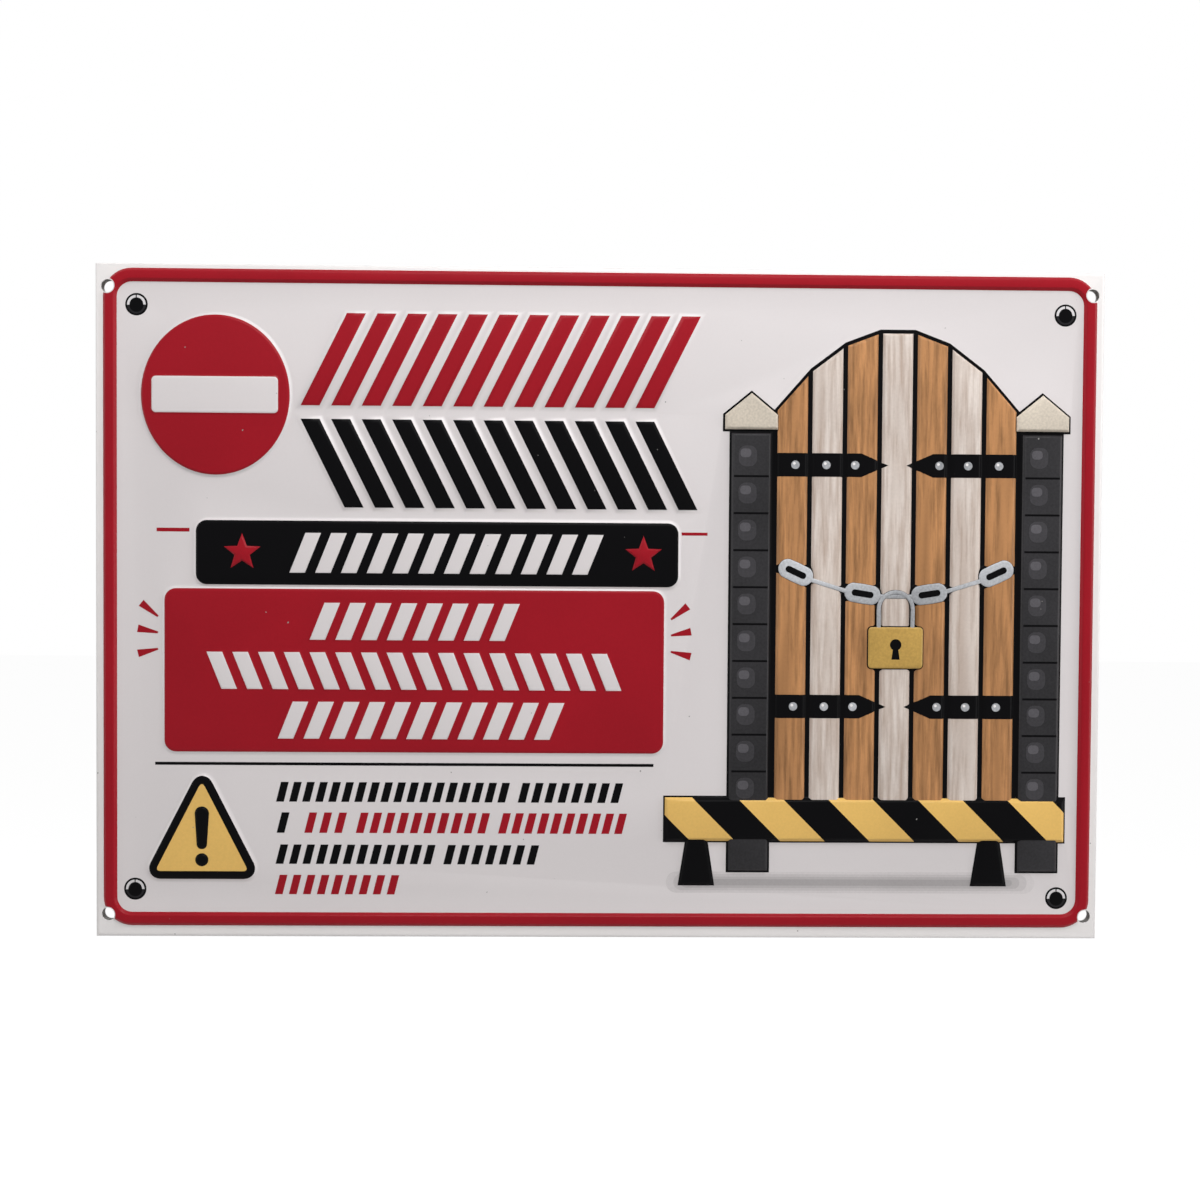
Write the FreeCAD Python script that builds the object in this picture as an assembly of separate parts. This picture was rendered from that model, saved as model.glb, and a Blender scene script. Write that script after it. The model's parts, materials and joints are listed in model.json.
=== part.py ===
import FreeCAD, Part
import math
import os

from FreeCAD import Vector

# A no entry sign, pressed from one sheet of tinplate. Millimetres, +Z up, +X to the right of
# someone who reads the sign, -Y towards that reader. The origin is at the centre of the four
# fixing holes, on the plane of the wall that the folded back edge lies on.

# Sheet and folded edge
PLATE_WIDTH = 300.0
PLATE_HEIGHT = 200.0
SHEET_THICKNESS = 0.3
HEM_THICKNESS = 2.8
SIDE_FLANGE_WIDTH = 12.0
END_FLANGE_WIDTH = 7.0
FLANGE_SLIT = 0.4

# Fixing holes, punched through the front and the flange behind it
HOLE_DIAMETER = 4.0
HOLE_TO_SIDE_FOLD = 0.6
HOLE_TO_END_FOLD = 3.6

# Border bead
BEAD_WIDTH = 4.0
BEAD_TO_SIDE_FOLD = 1.2
BEAD_TO_TOP_FOLD = 0.2
BEAD_TO_BOTTOM_FOLD = 2.2
BEAD_CORNER_RADIUS = 8.5
BEAD_RISE = 0.9

# No entry disc, a little taller than wide, with its bar
DISC_WIDTH = 43.7
DISC_HEIGHT = 47.1
DISC_TO_SIDE_BEAD = 7.3
DISC_TO_TOP_BEAD = 9.6
DISC_RISE = 1.0
BAR_WIDTH = 37.1
BAR_HEIGHT = 10.7
BAR_CORNER_RADIUS = 1.2
BAR_RISE = 0.4

# Two rows of slanted stripes, which meet as chevrons
UPPER_ROW_HEIGHT = 27.2
LOWER_ROW_HEIGHT = 26.1
ROWS_TO_DISC = 3.2
ROWS_TO_TOP_BEAD = 8.8
ROW_GAP = 4.0
STRIPE_WIDTH = 5.6
STRIPE_SPACING = 9.0
STRIPE_LEAN = 0.5
STRIPE_RISE = 1.0

# Short strip with stars and marks
STRIP_HEIGHT = 19.0
STRIP_LEFT_INSET = 9.3
STRIP_RIGHT_INSET = 6.9
STRIP_CORNER_RADIUS = 3.2
STRIP_RISE = 0.9
STAR_POINTS = 5
STAR_RADIUS = 5.7
STAR_TO_LEFT_END = 13.7
STAR_TO_RIGHT_END = 10.4
STAR_WAIST = 0.4
STRIP_MARK_HEIGHT = 11.8
STRIP_MARKS_LEFT_INSET = 26.0
STRIP_MARKS_RIGHT_INSET = 20.6

# Large panel with rows of marks
PANEL_TO_STRIP = 1.2
PANEL_LEFT_INSET = 14.1
PANEL_RIGHT_INSET = 11.0
PANEL_CORNER_RADIUS = 3.4
PANEL_RISE = 0.7
PANEL_TO_TRIANGLE = 7.2
MARK_HEIGHT = 11.0
MARK_ROW_GAP = 3.7
MARK_ROW_LEFT_INSETS = (42.4, 11.2, 32.1)
MARK_ROW_RIGHT_INSETS = (42.4, 11.2, 28.0)
LEAST_PANEL_MARGIN = 3.0

# Marks of the strip and the panel
MARK_WIDTH = 4.6
MARK_SPACING = 7.6
MARK_LEAN = 0.4
MARK_RISE = 0.4

# Warning triangle
TRIANGLE_WIDTH = 31.9
TRIANGLE_HEIGHT = 30.8
TRIANGLE_CORNER_RADIUS = 2.8
TRIANGLE_TO_SIDE_BEAD = 9.3
TRIANGLE_TO_BOTTOM_BEAD = 10.0
TRIANGLE_RISE = 0.8
SIGNAL_TOP_RADIUS = 2.1
SIGNAL_FOOT_RADIUS = 1.4
SIGNAL_HEIGHT = 12.7
SIGNAL_TO_DOT = 1.3
DOT_RADIUS = 1.95
DOT_TO_BASE = 3.8
SIGNAL_RISE = 0.4

# Picture of a locked yard gate
PICTURE_WIDTH = 104.0
PICTURE_TO_ROWS = 6.1
PICTURE_TO_SIDE_BEAD = 3.5
PICTURE_TO_TOP_BEAD = 12.4
PICTURE_TO_BOTTOM_BEAD = 8.4
POST_WIDTH = 13.0
POST_HEIGHT = 132.0
POST_RISE = 1.0
CAP_OVERHANG = 2.0
CAP_HEIGHT = 5.0
CAP_PEAK = 7.0
CAP_RISE = 1.2
GROUND_HEIGHT = 4.0
PLANK_SPACING = 10.4
PLANK_GAP = 0.7
PLANK_RISE = 0.8
GATE_TO_GROUND = 14.0
GATE_ARCH = 24.0
LOCK_WIDTH = 19.0
LOCK_HEIGHT = 15.0
LOCK_CORNER_RADIUS = 2.4
LOCK_RISE = 1.4
SHACKLE_RADIUS = 6.4
SHACKLE_WIRE = 2.6
SHACKLE_LEG = 4.0
SHACKLE_RISE = 1.2
CHAIN_HEIGHT = 90.0
CHAIN_SAG = 7.0
LINK_LENGTH = 13.0
LINK_WIDTH = 8.0
LINK_WIRE = 2.8
LINK_SPACING = 10.0
LINK_RISE = 1.1
BOARD_HEIGHT = 14.0
BOARD_TO_GROUND = 9.0
BOARD_OVERHANG = 16.9
BOARD_RISE = 1.3
LEG_TOP_WIDTH = 6.0
LEG_FOOT_WIDTH = 11.0
LEG_TO_LEFT_END = 10.0
LEG_TO_RIGHT_END = 23.0

# Planes across the thickness
FRONT = -HEM_THICKNESS
FOLD_RADIUS = HEM_THICKNESS / 2
BURIED = SHEET_THICKNESS / 2
CUT_SPAN = 10.0

# Where the sheet starts to fold, and the field inside the bead
FOLD_X = PLATE_WIDTH / 2 - FOLD_RADIUS
FOLD_Z = PLATE_HEIGHT / 2 - FOLD_RADIUS
BEAD_X = FOLD_X - BEAD_TO_SIDE_FOLD
BEAD_TOP = FOLD_Z - BEAD_TO_TOP_FOLD
BEAD_BOTTOM = -FOLD_Z + BEAD_TO_BOTTOM_FOLD
FIELD_X = BEAD_X - BEAD_WIDTH
FIELD_TOP = BEAD_TOP - BEAD_WIDTH
FIELD_BOTTOM = BEAD_BOTTOM + BEAD_WIDTH

# Fixing hole centres
HOLE_X = FOLD_X - HOLE_TO_SIDE_FOLD - HOLE_DIAMETER / 2
HOLE_Z = FOLD_Z - HOLE_TO_END_FOLD - HOLE_DIAMETER / 2

# Column edges, from the picture leftwards, and row edges, from the top down
PICTURE_RIGHT = FIELD_X - PICTURE_TO_SIDE_BEAD
PICTURE_LEFT = PICTURE_RIGHT - PICTURE_WIDTH
COLUMN_RIGHT = PICTURE_LEFT - PICTURE_TO_ROWS
DISC_X = -FIELD_X + DISC_TO_SIDE_BEAD + DISC_WIDTH / 2
DISC_Z = FIELD_TOP - DISC_TO_TOP_BEAD - DISC_HEIGHT / 2
ROWS_LEFT = DISC_X + DISC_WIDTH / 2 + ROWS_TO_DISC
UPPER_ROW_TOP = FIELD_TOP - ROWS_TO_TOP_BEAD
LOWER_ROW_TOP = UPPER_ROW_TOP - UPPER_ROW_HEIGHT - ROW_GAP
STRIP_TOP = LOWER_ROW_TOP - LOWER_ROW_HEIGHT - ROW_GAP
STRIP_BOTTOM = STRIP_TOP - STRIP_HEIGHT
PANEL_LEFT = -FIELD_X + PANEL_LEFT_INSET
PANEL_RIGHT = COLUMN_RIGHT - PANEL_RIGHT_INSET
STRIP_LEFT = PANEL_LEFT + STRIP_LEFT_INSET
STRIP_RIGHT = COLUMN_RIGHT - STRIP_RIGHT_INSET
TRIANGLE_X = -FIELD_X + TRIANGLE_TO_SIDE_BEAD + TRIANGLE_WIDTH / 2
TRIANGLE_BASE = FIELD_BOTTOM + TRIANGLE_TO_BOTTOM_BEAD
PANEL_TOP = STRIP_BOTTOM - PANEL_TO_STRIP
PANEL_BOTTOM = TRIANGLE_BASE + TRIANGLE_HEIGHT + PANEL_TO_TRIANGLE

# Levels inside the picture
PICTURE_X = (PICTURE_LEFT + PICTURE_RIGHT) / 2
PICTURE_TOP = FIELD_TOP - PICTURE_TO_TOP_BEAD
PICTURE_BOTTOM = FIELD_BOTTOM + PICTURE_TO_BOTTOM_BEAD
GROUND = PICTURE_BOTTOM + GROUND_HEIGHT
GATE_HALF_WIDTH = PICTURE_WIDTH / 2 - CAP_OVERHANG - POST_WIDTH - PLANK_GAP


def at(x, z):
    """A point of an outline, drawn in the plane y = 0."""
    return Vector(x, 0, z)


def polygon(points):
    corners = [at(x, z) for x, z in points]
    return Part.makePolygon(corners + corners[:1])


def rounded_polygon(points, radius):
    """A convex outline with an arc of one radius at every corner."""
    corners = [at(x, z) for x, z in points]
    edges = []
    tangents = []
    for i, corner in enumerate(corners):
        back = (corners[i - 1] - corner).normalize()
        ahead = (corners[(i + 1) % len(corners)] - corner).normalize()
        half_angle = back.getAngle(ahead) / 2
        inwards = (back + ahead).normalize()
        centre = corner + inwards * (radius / math.sin(half_angle))
        reach = radius / math.tan(half_angle)
        tangents.append((corner + back * reach, centre - inwards * radius, corner + ahead * reach))
    for i, (start, middle, end) in enumerate(tangents):
        edges.append(Part.Arc(start, middle, end).toShape())
        edges.append(Part.makeLine(end, tangents[(i + 1) % len(tangents)][0]))
    return Part.Wire(edges)


def rounded_rectangle(left, bottom, right, top, radius):
    return rounded_polygon([(left, bottom), (right, bottom), (right, top), (left, top)], radius)


def rectangle(left, bottom, right, top):
    return polygon([(left, bottom), (right, bottom), (right, top), (left, top)])


def circle(x, z, radius):
    return Part.Wire([Part.makeCircle(radius, at(x, z), Vector(0, -1, 0))])


def ellipse(x, z, width, height):
    """An upright ellipse, taller than wide."""
    curve = Part.Ellipse(at(x, z + height / 2), at(x + width / 2, z), at(x, z))
    return Part.Wire([curve.toShape()])


def tapered_bar(x1, z1, radius1, x2, z2, radius2):
    """A bar with round ends of two radii, drawn round two centres."""
    run = at(x2 - x1, z2 - z1)
    length = run.Length
    ahead = run.normalize()
    aside = Vector(ahead.z, 0, -ahead.x)
    lean = math.asin((radius1 - radius2) / length)
    first, second = at(x1, z1), at(x2, z2)

    def tangent(centre, radius, side):
        return centre + ahead * (radius * math.sin(lean)) + aside * (side * radius * math.cos(lean))

    a, b = tangent(first, radius1, 1), tangent(second, radius2, 1)
    c, d = tangent(second, radius2, -1), tangent(first, radius1, -1)
    return Part.Wire([
        Part.makeLine(a, b),
        Part.Arc(b, second + ahead * radius2, c).toShape(),
        Part.makeLine(c, d),
        Part.Arc(d, first - ahead * radius1, a).toShape(),
    ])


def leaning(left, bottom, width, height, shift):
    """A slanted stripe, whose top stands shift to the right of its foot."""
    top = bottom + height
    right = left + width
    return polygon([(left, bottom), (right, bottom), (right + shift, top), (left + shift, top)])


def star(x, z, radius, waist):
    """A star with its first point upwards and its inner corners at radius times waist."""
    points = []
    for i in range(2 * STAR_POINTS):
        reach = radius if i % 2 == 0 else radius * waist
        angle = math.pi / 2 + i * math.pi / STAR_POINTS
        points.append((x + reach * math.cos(angle), z + reach * math.sin(angle)))
    return polygon(points)


def punch(outlines, rise, floor=0.0):
    """The solid that a punch leaves in relief: the outlines, raised by rise above floor, with
    sides that slope at 45 degrees. Outlines after the first are holes in it."""
    face = Part.Face(outlines[0])
    for hole in outlines[1:]:
        face = face.cut(Part.Face(hole)).Faces[0]
    face.translate(Vector(0, FRONT - floor + BURIED, 0))
    body = face.extrude(Vector(0, -rise - BURIED, 0))
    crown = FRONT - floor - rise
    rim = [e for e in body.Edges if e.BoundBox.YMax < crown + BURIED / 2]
    return body.makeChamfer(rise, rim)


def row_of_marks(left, right, bottom, height, floor, lean):
    """Slanted marks, centred between left and right, as many as fit."""
    shift = height * lean
    reach = abs(shift) + MARK_WIDTH
    count = max(0, int((right - left - reach) // MARK_SPACING) + 1)
    start = (left + right - (count - 1) * MARK_SPACING - reach) / 2 - min(shift, 0)
    marks = []
    for i in range(count):
        outline = leaning(start + i * MARK_SPACING, bottom, MARK_WIDTH, height, shift)
        marks.append(punch([outline], MARK_RISE, floor))
    return marks


def border_bead():
    outer = rounded_rectangle(-BEAD_X, BEAD_BOTTOM, BEAD_X, BEAD_TOP, BEAD_CORNER_RADIUS)
    inner_radius = BEAD_CORNER_RADIUS - BEAD_WIDTH
    inner = rounded_rectangle(-FIELD_X, FIELD_BOTTOM, FIELD_X, FIELD_TOP, inner_radius)
    return [punch([outer, inner], BEAD_RISE)]


def no_entry_disc():
    disc = punch([ellipse(DISC_X, DISC_Z, DISC_WIDTH, DISC_HEIGHT)], DISC_RISE)
    half_width, half_height = BAR_WIDTH / 2, BAR_HEIGHT / 2
    bar = rounded_rectangle(DISC_X - half_width, DISC_Z - half_height,
                            DISC_X + half_width, DISC_Z + half_height, BAR_CORNER_RADIUS)
    return [disc, punch([bar], BAR_RISE, DISC_RISE)]


def chevron_rows():
    upper_shift = UPPER_ROW_HEIGHT * STRIPE_LEAN
    lower_shift = LOWER_ROW_HEIGHT * STRIPE_LEAN
    run = COLUMN_RIGHT - ROWS_LEFT - STRIPE_WIDTH - max(upper_shift, lower_shift)
    count = int(run // STRIPE_SPACING) + 1
    stripes = []
    for i in range(count):
        left = ROWS_LEFT + i * STRIPE_SPACING
        upper = leaning(left, UPPER_ROW_TOP - UPPER_ROW_HEIGHT, STRIPE_WIDTH, UPPER_ROW_HEIGHT, upper_shift)
        lower = leaning(left + lower_shift, LOWER_ROW_TOP - LOWER_ROW_HEIGHT,
                        STRIPE_WIDTH, LOWER_ROW_HEIGHT, -lower_shift)
        stripes.append(punch([upper], STRIPE_RISE))
        stripes.append(punch([lower], STRIPE_RISE))
    return stripes


def starred_strip():
    outline = rounded_rectangle(STRIP_LEFT, STRIP_BOTTOM, STRIP_RIGHT, STRIP_TOP, STRIP_CORNER_RADIUS)
    forms = [punch([outline], STRIP_RISE)]
    middle = (STRIP_TOP + STRIP_BOTTOM) / 2
    for x in (STRIP_LEFT + STAR_TO_LEFT_END, STRIP_RIGHT - STAR_TO_RIGHT_END):
        forms.append(punch([star(x, middle, STAR_RADIUS, STAR_WAIST)], MARK_RISE, STRIP_RISE))
    forms += row_of_marks(STRIP_LEFT + STRIP_MARKS_LEFT_INSET, STRIP_RIGHT - STRIP_MARKS_RIGHT_INSET,
                          middle - STRIP_MARK_HEIGHT / 2, STRIP_MARK_HEIGHT, STRIP_RISE, MARK_LEAN)
    return forms


def marked_panel():
    outline = rounded_rectangle(PANEL_LEFT, PANEL_BOTTOM, PANEL_RIGHT, PANEL_TOP, PANEL_CORNER_RADIUS)
    forms = [punch([outline], PANEL_RISE)]
    height = PANEL_TOP - PANEL_BOTTOM
    spacing = MARK_HEIGHT + MARK_ROW_GAP
    rows = min(len(MARK_ROW_LEFT_INSETS), int((height - 2 * LEAST_PANEL_MARGIN + MARK_ROW_GAP) // spacing))
    top = (PANEL_TOP + PANEL_BOTTOM + rows * spacing - MARK_ROW_GAP) / 2
    for i in range(rows):
        lean = MARK_LEAN if i % 2 == 0 else -MARK_LEAN
        forms += row_of_marks(PANEL_LEFT + MARK_ROW_LEFT_INSETS[i], PANEL_RIGHT - MARK_ROW_RIGHT_INSETS[i],
                              top - i * spacing - MARK_HEIGHT, MARK_HEIGHT, PANEL_RISE, lean)
    return forms


def warning_triangle():
    half_width = TRIANGLE_WIDTH / 2
    # The straight sides are drawn to the sharp corners that the arcs cut back.
    slope = math.atan2(TRIANGLE_HEIGHT - TRIANGLE_CORNER_RADIUS, half_width - TRIANGLE_CORNER_RADIUS)
    spread = TRIANGLE_CORNER_RADIUS / math.tan(slope / 2)
    peak = TRIANGLE_CORNER_RADIUS / math.cos(slope)
    foot_x = half_width - TRIANGLE_CORNER_RADIUS + spread
    apex_z = TRIANGLE_HEIGHT - TRIANGLE_CORNER_RADIUS + peak
    outline = rounded_polygon([(TRIANGLE_X - foot_x, TRIANGLE_BASE), (TRIANGLE_X + foot_x, TRIANGLE_BASE),
                               (TRIANGLE_X, TRIANGLE_BASE + apex_z)], TRIANGLE_CORNER_RADIUS)
    dot_z = TRIANGLE_BASE + DOT_TO_BASE + DOT_RADIUS
    foot_z = dot_z + DOT_RADIUS + SIGNAL_TO_DOT + SIGNAL_FOOT_RADIUS
    top_z = foot_z + SIGNAL_HEIGHT - SIGNAL_FOOT_RADIUS - SIGNAL_TOP_RADIUS
    signal = tapered_bar(TRIANGLE_X, top_z, SIGNAL_TOP_RADIUS, TRIANGLE_X, foot_z, SIGNAL_FOOT_RADIUS)
    return [
        punch([outline], TRIANGLE_RISE),
        punch([signal], SIGNAL_RISE, TRIANGLE_RISE),
        punch([circle(TRIANGLE_X, dot_z, DOT_RADIUS)], SIGNAL_RISE, TRIANGLE_RISE),
    ]


def gate_posts():
    """Two masonry posts with peaked caps."""
    forms = []
    post_top = GROUND + POST_HEIGHT
    cap_top = post_top + CAP_HEIGHT
    for side in (-1, 1):
        x = PICTURE_X + side * (PICTURE_WIDTH / 2 - CAP_OVERHANG - POST_WIDTH / 2)
        half_post, half_cap = POST_WIDTH / 2, POST_WIDTH / 2 + CAP_OVERHANG
        forms.append(punch([rectangle(x - half_post, GROUND, x + half_post, post_top)], POST_RISE))
        cap = polygon([(x - half_cap, post_top), (x + half_cap, post_top), (x + half_cap, cap_top),
                       (x, cap_top + CAP_PEAK), (x - half_cap, cap_top)])
        forms.append(punch([cap], CAP_RISE))
    return forms


def gate_planks():
    """Upright boards under an arch, whose crown is at the top of the picture."""
    count = int((2 * GATE_HALF_WIDTH + PLANK_GAP) // PLANK_SPACING)
    start = PICTURE_X - (count * PLANK_SPACING - PLANK_GAP) / 2
    width = PLANK_SPACING - PLANK_GAP

    def arch(x):
        return PICTURE_TOP - GATE_ARCH * ((x - PICTURE_X) / GATE_HALF_WIDTH) ** 2

    planks = []
    for i in range(count):
        left = start + i * PLANK_SPACING
        right = left + width
        foot = GROUND + GATE_TO_GROUND
        outline = polygon([(left, foot), (right, foot), (right, arch(right)), (left, arch(left))])
        planks.append(punch([outline], PLANK_RISE))
    return planks


def chain():
    """A chain that hangs from post to post, whose links are seen by turns from the edge, as
    straight bars, and from the front."""
    lowest = GROUND + CHAIN_HEIGHT - CHAIN_SAG
    pairs = max(1, int(GATE_HALF_WIDTH // LINK_SPACING))
    forms = []
    for i in range(-pairs, pairs + 1):
        x = PICTURE_X + i * LINK_SPACING
        z = lowest + CHAIN_SAG * (i / pairs) ** 2
        climb = math.atan(2 * CHAIN_SAG * i / (pairs ** 2 * LINK_SPACING))
        ahead = at(math.cos(climb), math.sin(climb))
        if i % 2:
            radius = LINK_WIDTH / 2
            start = at(x, z) - ahead * (LINK_LENGTH / 2 - radius)
            end = at(x, z) + ahead * (LINK_LENGTH / 2 - radius)
            outline = tapered_bar(start.x, start.z, radius, end.x, end.z, radius)
        else:
            along = ahead * (LINK_LENGTH / 2)
            aside = at(-ahead.z, ahead.x) * (LINK_WIRE / 2)
            centre = at(x, z)
            corners = [centre - along - aside, centre + along - aside,
                       centre + along + aside, centre - along + aside]
            outline = polygon([(corner.x, corner.z) for corner in corners])
        forms.append(punch([outline], LINK_RISE))
    return forms


def padlock():
    """It hangs from the lowest link of the chain."""
    top = GROUND + CHAIN_HEIGHT - CHAIN_SAG + SHACKLE_WIRE - SHACKLE_RADIUS - SHACKLE_LEG
    body = rounded_rectangle(PICTURE_X - LOCK_WIDTH / 2, top - LOCK_HEIGHT,
                             PICTURE_X + LOCK_WIDTH / 2, top, LOCK_CORNER_RADIUS)
    inner = SHACKLE_RADIUS - SHACKLE_WIRE
    eye = top + SHACKLE_LEG
    seat = top - LOCK_CORNER_RADIUS

    def leg_end(side, reach, z):
        return at(PICTURE_X + side * reach, z)

    shackle = Part.Wire([
        Part.makeLine(leg_end(-1, SHACKLE_RADIUS, seat), leg_end(-1, SHACKLE_RADIUS, eye)),
        Part.Arc(leg_end(-1, SHACKLE_RADIUS, eye), at(PICTURE_X, eye + SHACKLE_RADIUS),
                 leg_end(1, SHACKLE_RADIUS, eye)).toShape(),
        Part.makeLine(leg_end(1, SHACKLE_RADIUS, eye), leg_end(1, SHACKLE_RADIUS, seat)),
        Part.makeLine(leg_end(1, SHACKLE_RADIUS, seat), leg_end(1, inner, seat)),
        Part.makeLine(leg_end(1, inner, seat), leg_end(1, inner, eye)),
        Part.Arc(leg_end(1, inner, eye), at(PICTURE_X, eye + inner), leg_end(-1, inner, eye)).toShape(),
        Part.makeLine(leg_end(-1, inner, eye), leg_end(-1, inner, seat)),
        Part.makeLine(leg_end(-1, inner, seat), leg_end(-1, SHACKLE_RADIUS, seat)),
    ])
    return [punch([body], LOCK_RISE), punch([shackle], SHACKLE_RISE)]


def striped_barrier():
    """It stands in front of the gate and reaches out past the left post."""
    left, right = PICTURE_LEFT - BOARD_OVERHANG, PICTURE_RIGHT
    bottom = GROUND + BOARD_TO_GROUND
    half_foot, half_top = LEG_FOOT_WIDTH / 2, LEG_TOP_WIDTH / 2
    forms = [punch([rectangle(left, bottom, right, bottom + BOARD_HEIGHT)], BOARD_RISE)]
    for x in (left + LEG_TO_LEFT_END, right - LEG_TO_RIGHT_END):
        outline = polygon([(x - half_foot, PICTURE_BOTTOM), (x + half_foot, PICTURE_BOTTOM),
                           (x + half_top, bottom), (x - half_top, bottom)])
        forms.append(punch([outline], PLANK_RISE))
    return forms


def pillow(inset):
    """The flat bag that the sheet and its folded edges wrap, inset all round: a slab with
    half-round edges that meet in a mitre at each corner."""
    half_x, half_z = FOLD_X, FOLD_Z
    radius = FOLD_RADIUS - inset
    across = radius + half_x, radius + half_z

    def stadium(straight, turned):
        def point(u, y):
            return Vector(u, y - FOLD_RADIUS, 0) if not turned else Vector(0, y - FOLD_RADIUS, u)
        edges = [
            Part.makeLine(point(-straight, -radius), point(straight, -radius)),
            Part.Arc(point(straight, -radius), point(straight + radius, 0), point(straight, radius)).toShape(),
            Part.makeLine(point(straight, radius), point(-straight, radius)),
            Part.Arc(point(-straight, radius), point(-straight - radius, 0), point(-straight, -radius)).toShape(),
        ]
        return Part.Face(Part.Wire(edges))

    wide = stadium(half_x, False)
    wide.translate(Vector(0, 0, -across[1]))
    tall = stadium(half_z, True)
    tall.translate(Vector(-across[0], 0, 0))
    return wide.extrude(Vector(0, 0, 2 * across[1])).common(tall.extrude(Vector(2 * across[0], 0, 0)))


def back_window():
    """What the flanges leave open behind, with the slits where they meet at the corners."""
    inner_x = PLATE_WIDTH / 2 - SIDE_FLANGE_WIDTH
    inner_z = PLATE_HEIGHT / 2 - END_FLANGE_WIDTH
    depth = Vector(0, CUT_SPAN, 0)
    window = rectangle(-inner_x, -inner_z, inner_x, inner_z)
    cuts = [window]
    for side_x in (-1, 1):
        for side_z in (-1, 1):
            inner = at(side_x * inner_x, side_z * inner_z)
            outer = at(side_x * FOLD_X, side_z * FOLD_Z)
            along = (outer - inner).normalize()
            aside = Vector(along.z, 0, -along.x) * (FLANGE_SLIT / 2)
            start = inner - along * FLANGE_SLIT
            corners = [start - aside, outer - aside, outer + aside, start + aside]
            cuts.append(Part.makePolygon(corners + corners[:1]))
    solids = []
    for outline in cuts:
        face = Part.Face(outline)
        face.translate(Vector(0, -FOLD_RADIUS, 0))
        solids.append(face.extrude(depth))
    return solids


def fixing_holes():
    holes = []
    for x in (-HOLE_X, HOLE_X):
        for z in (-HOLE_Z, HOLE_Z):
            start = Vector(x, FRONT - CUT_SPAN, z)
            holes.append(Part.makeCylinder(HOLE_DIAMETER / 2, 2 * CUT_SPAN, start, Vector(0, 1, 0)))
    return holes


def sign_plate():
    """The sheet keeps its thickness under every raised form, so the back shows each in reverse."""
    relief = (border_bead() + no_entry_disc() + chevron_rows() + starred_strip() + marked_panel()
              + warning_triangle() + gate_posts() + gate_planks() + chain() + padlock()
              + striped_barrier())
    hollows = [form.translated(Vector(0, SHEET_THICKNESS, 0)) for form in relief]
    sheet = pillow(0).cut(pillow(SHEET_THICKNESS))
    sheet = sheet.multiFuse(relief)
    sheet = sheet.cut(hollows + back_window() + fixing_holes())
    return sheet.Solids[0]


plate = sign_plate()
os.makedirs("parts", exist_ok=True)
plate.exportStep("parts/sign_plate.step")
box = plate.BoundBox
print("sign_plate", len(plate.Solids), "solid, valid", plate.isValid(), "faces", len(plate.Faces))
print("box", round(box.XLength, 3), round(box.YLength, 3), round(box.ZLength, 3), "volume", round(plate.Volume, 1))
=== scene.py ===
import json
import math

import bmesh
import bpy
from bpy.props import FloatProperty, FloatVectorProperty, IntProperty, PointerProperty
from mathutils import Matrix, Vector

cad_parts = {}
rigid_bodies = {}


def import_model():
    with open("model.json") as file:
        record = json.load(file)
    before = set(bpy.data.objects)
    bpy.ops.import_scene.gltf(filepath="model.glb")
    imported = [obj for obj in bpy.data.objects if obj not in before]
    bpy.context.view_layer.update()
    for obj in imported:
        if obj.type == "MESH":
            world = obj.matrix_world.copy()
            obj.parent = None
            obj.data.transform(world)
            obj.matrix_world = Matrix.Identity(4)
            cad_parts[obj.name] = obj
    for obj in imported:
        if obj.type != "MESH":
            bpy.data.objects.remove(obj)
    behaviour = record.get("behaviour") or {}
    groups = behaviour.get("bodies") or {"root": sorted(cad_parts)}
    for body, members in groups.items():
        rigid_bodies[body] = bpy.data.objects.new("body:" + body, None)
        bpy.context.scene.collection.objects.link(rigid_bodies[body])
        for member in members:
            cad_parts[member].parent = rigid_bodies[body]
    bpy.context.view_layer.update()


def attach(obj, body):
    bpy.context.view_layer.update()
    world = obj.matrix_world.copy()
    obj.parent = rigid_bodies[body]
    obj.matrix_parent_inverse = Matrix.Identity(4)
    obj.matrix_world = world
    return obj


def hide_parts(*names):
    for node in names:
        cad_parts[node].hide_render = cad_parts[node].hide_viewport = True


bl_info = {
    "name": "Embossed No Entry Sign",
    "version": (1, 0, 0),
    "blender": (4, 5, 0),
    "location": "View3D > Sidebar > Sign",
    "description": "Builds an embossed and printed tinplate no entry sign, with its lights and camera",
    "category": "Add Mesh",
}

# An embossed tinplate sign: one pressed sheet in white lacquer, and over it thin layers of
# printing ink, each a piece of its own. +X is to the reader's right, +Z up, the front faces -Y.

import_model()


def mm(value):
    """Millimetres in Blender's metres."""
    return value / 1000.0


# Inks of the pressed forms, each with the piece that it becomes. On a form they are material
# slots in this order, after the white of the field and before the lighter white of the margin, painted light
# on the margin and hem.
PRINTS = {
    "border_red": "border_print",
    "disc_red": "disc_print",
    "row_red": "upper_row_print",
    "row_black": "lower_row_print",
    "strip_black": "strip_print",
    "star_red": "star_print",
    "panel_red": "panel_print",
    "warning_black": "warning_border_print",
    "warning_yellow": "warning_field_print",
    "outline_black": "picture_outline_print",
    "post_charcoal": "post_print",
    "cap_stone": "cap_print",
    "plank_tan": "tan_plank_print",
    "plank_pale": "pale_plank_print",
    "chain_steel": "chain_print",
    "lock_brass": "lock_print",
    "board_yellow": "board_yellow_print",
    "board_black": "board_black_print",
}
INKS = ["white_lacquer", *PRINTS, "painted_light_white"]
GROUND_TINTS = [f"ground_tint_{i + 1}" for i in range(4)]

# A form's part behind its floor, half the thickness of an ink, a length that counts as nothing,
# and one within which two corners stand at the same place
BURIED = mm(0.5)
FILM = mm(0.025)
NOTHING = mm(0.002)
NEAR = mm(0.1)

# The share of a direction that has to lie along an axis, for it to count as running that way
ALONG = 0.9

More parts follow.
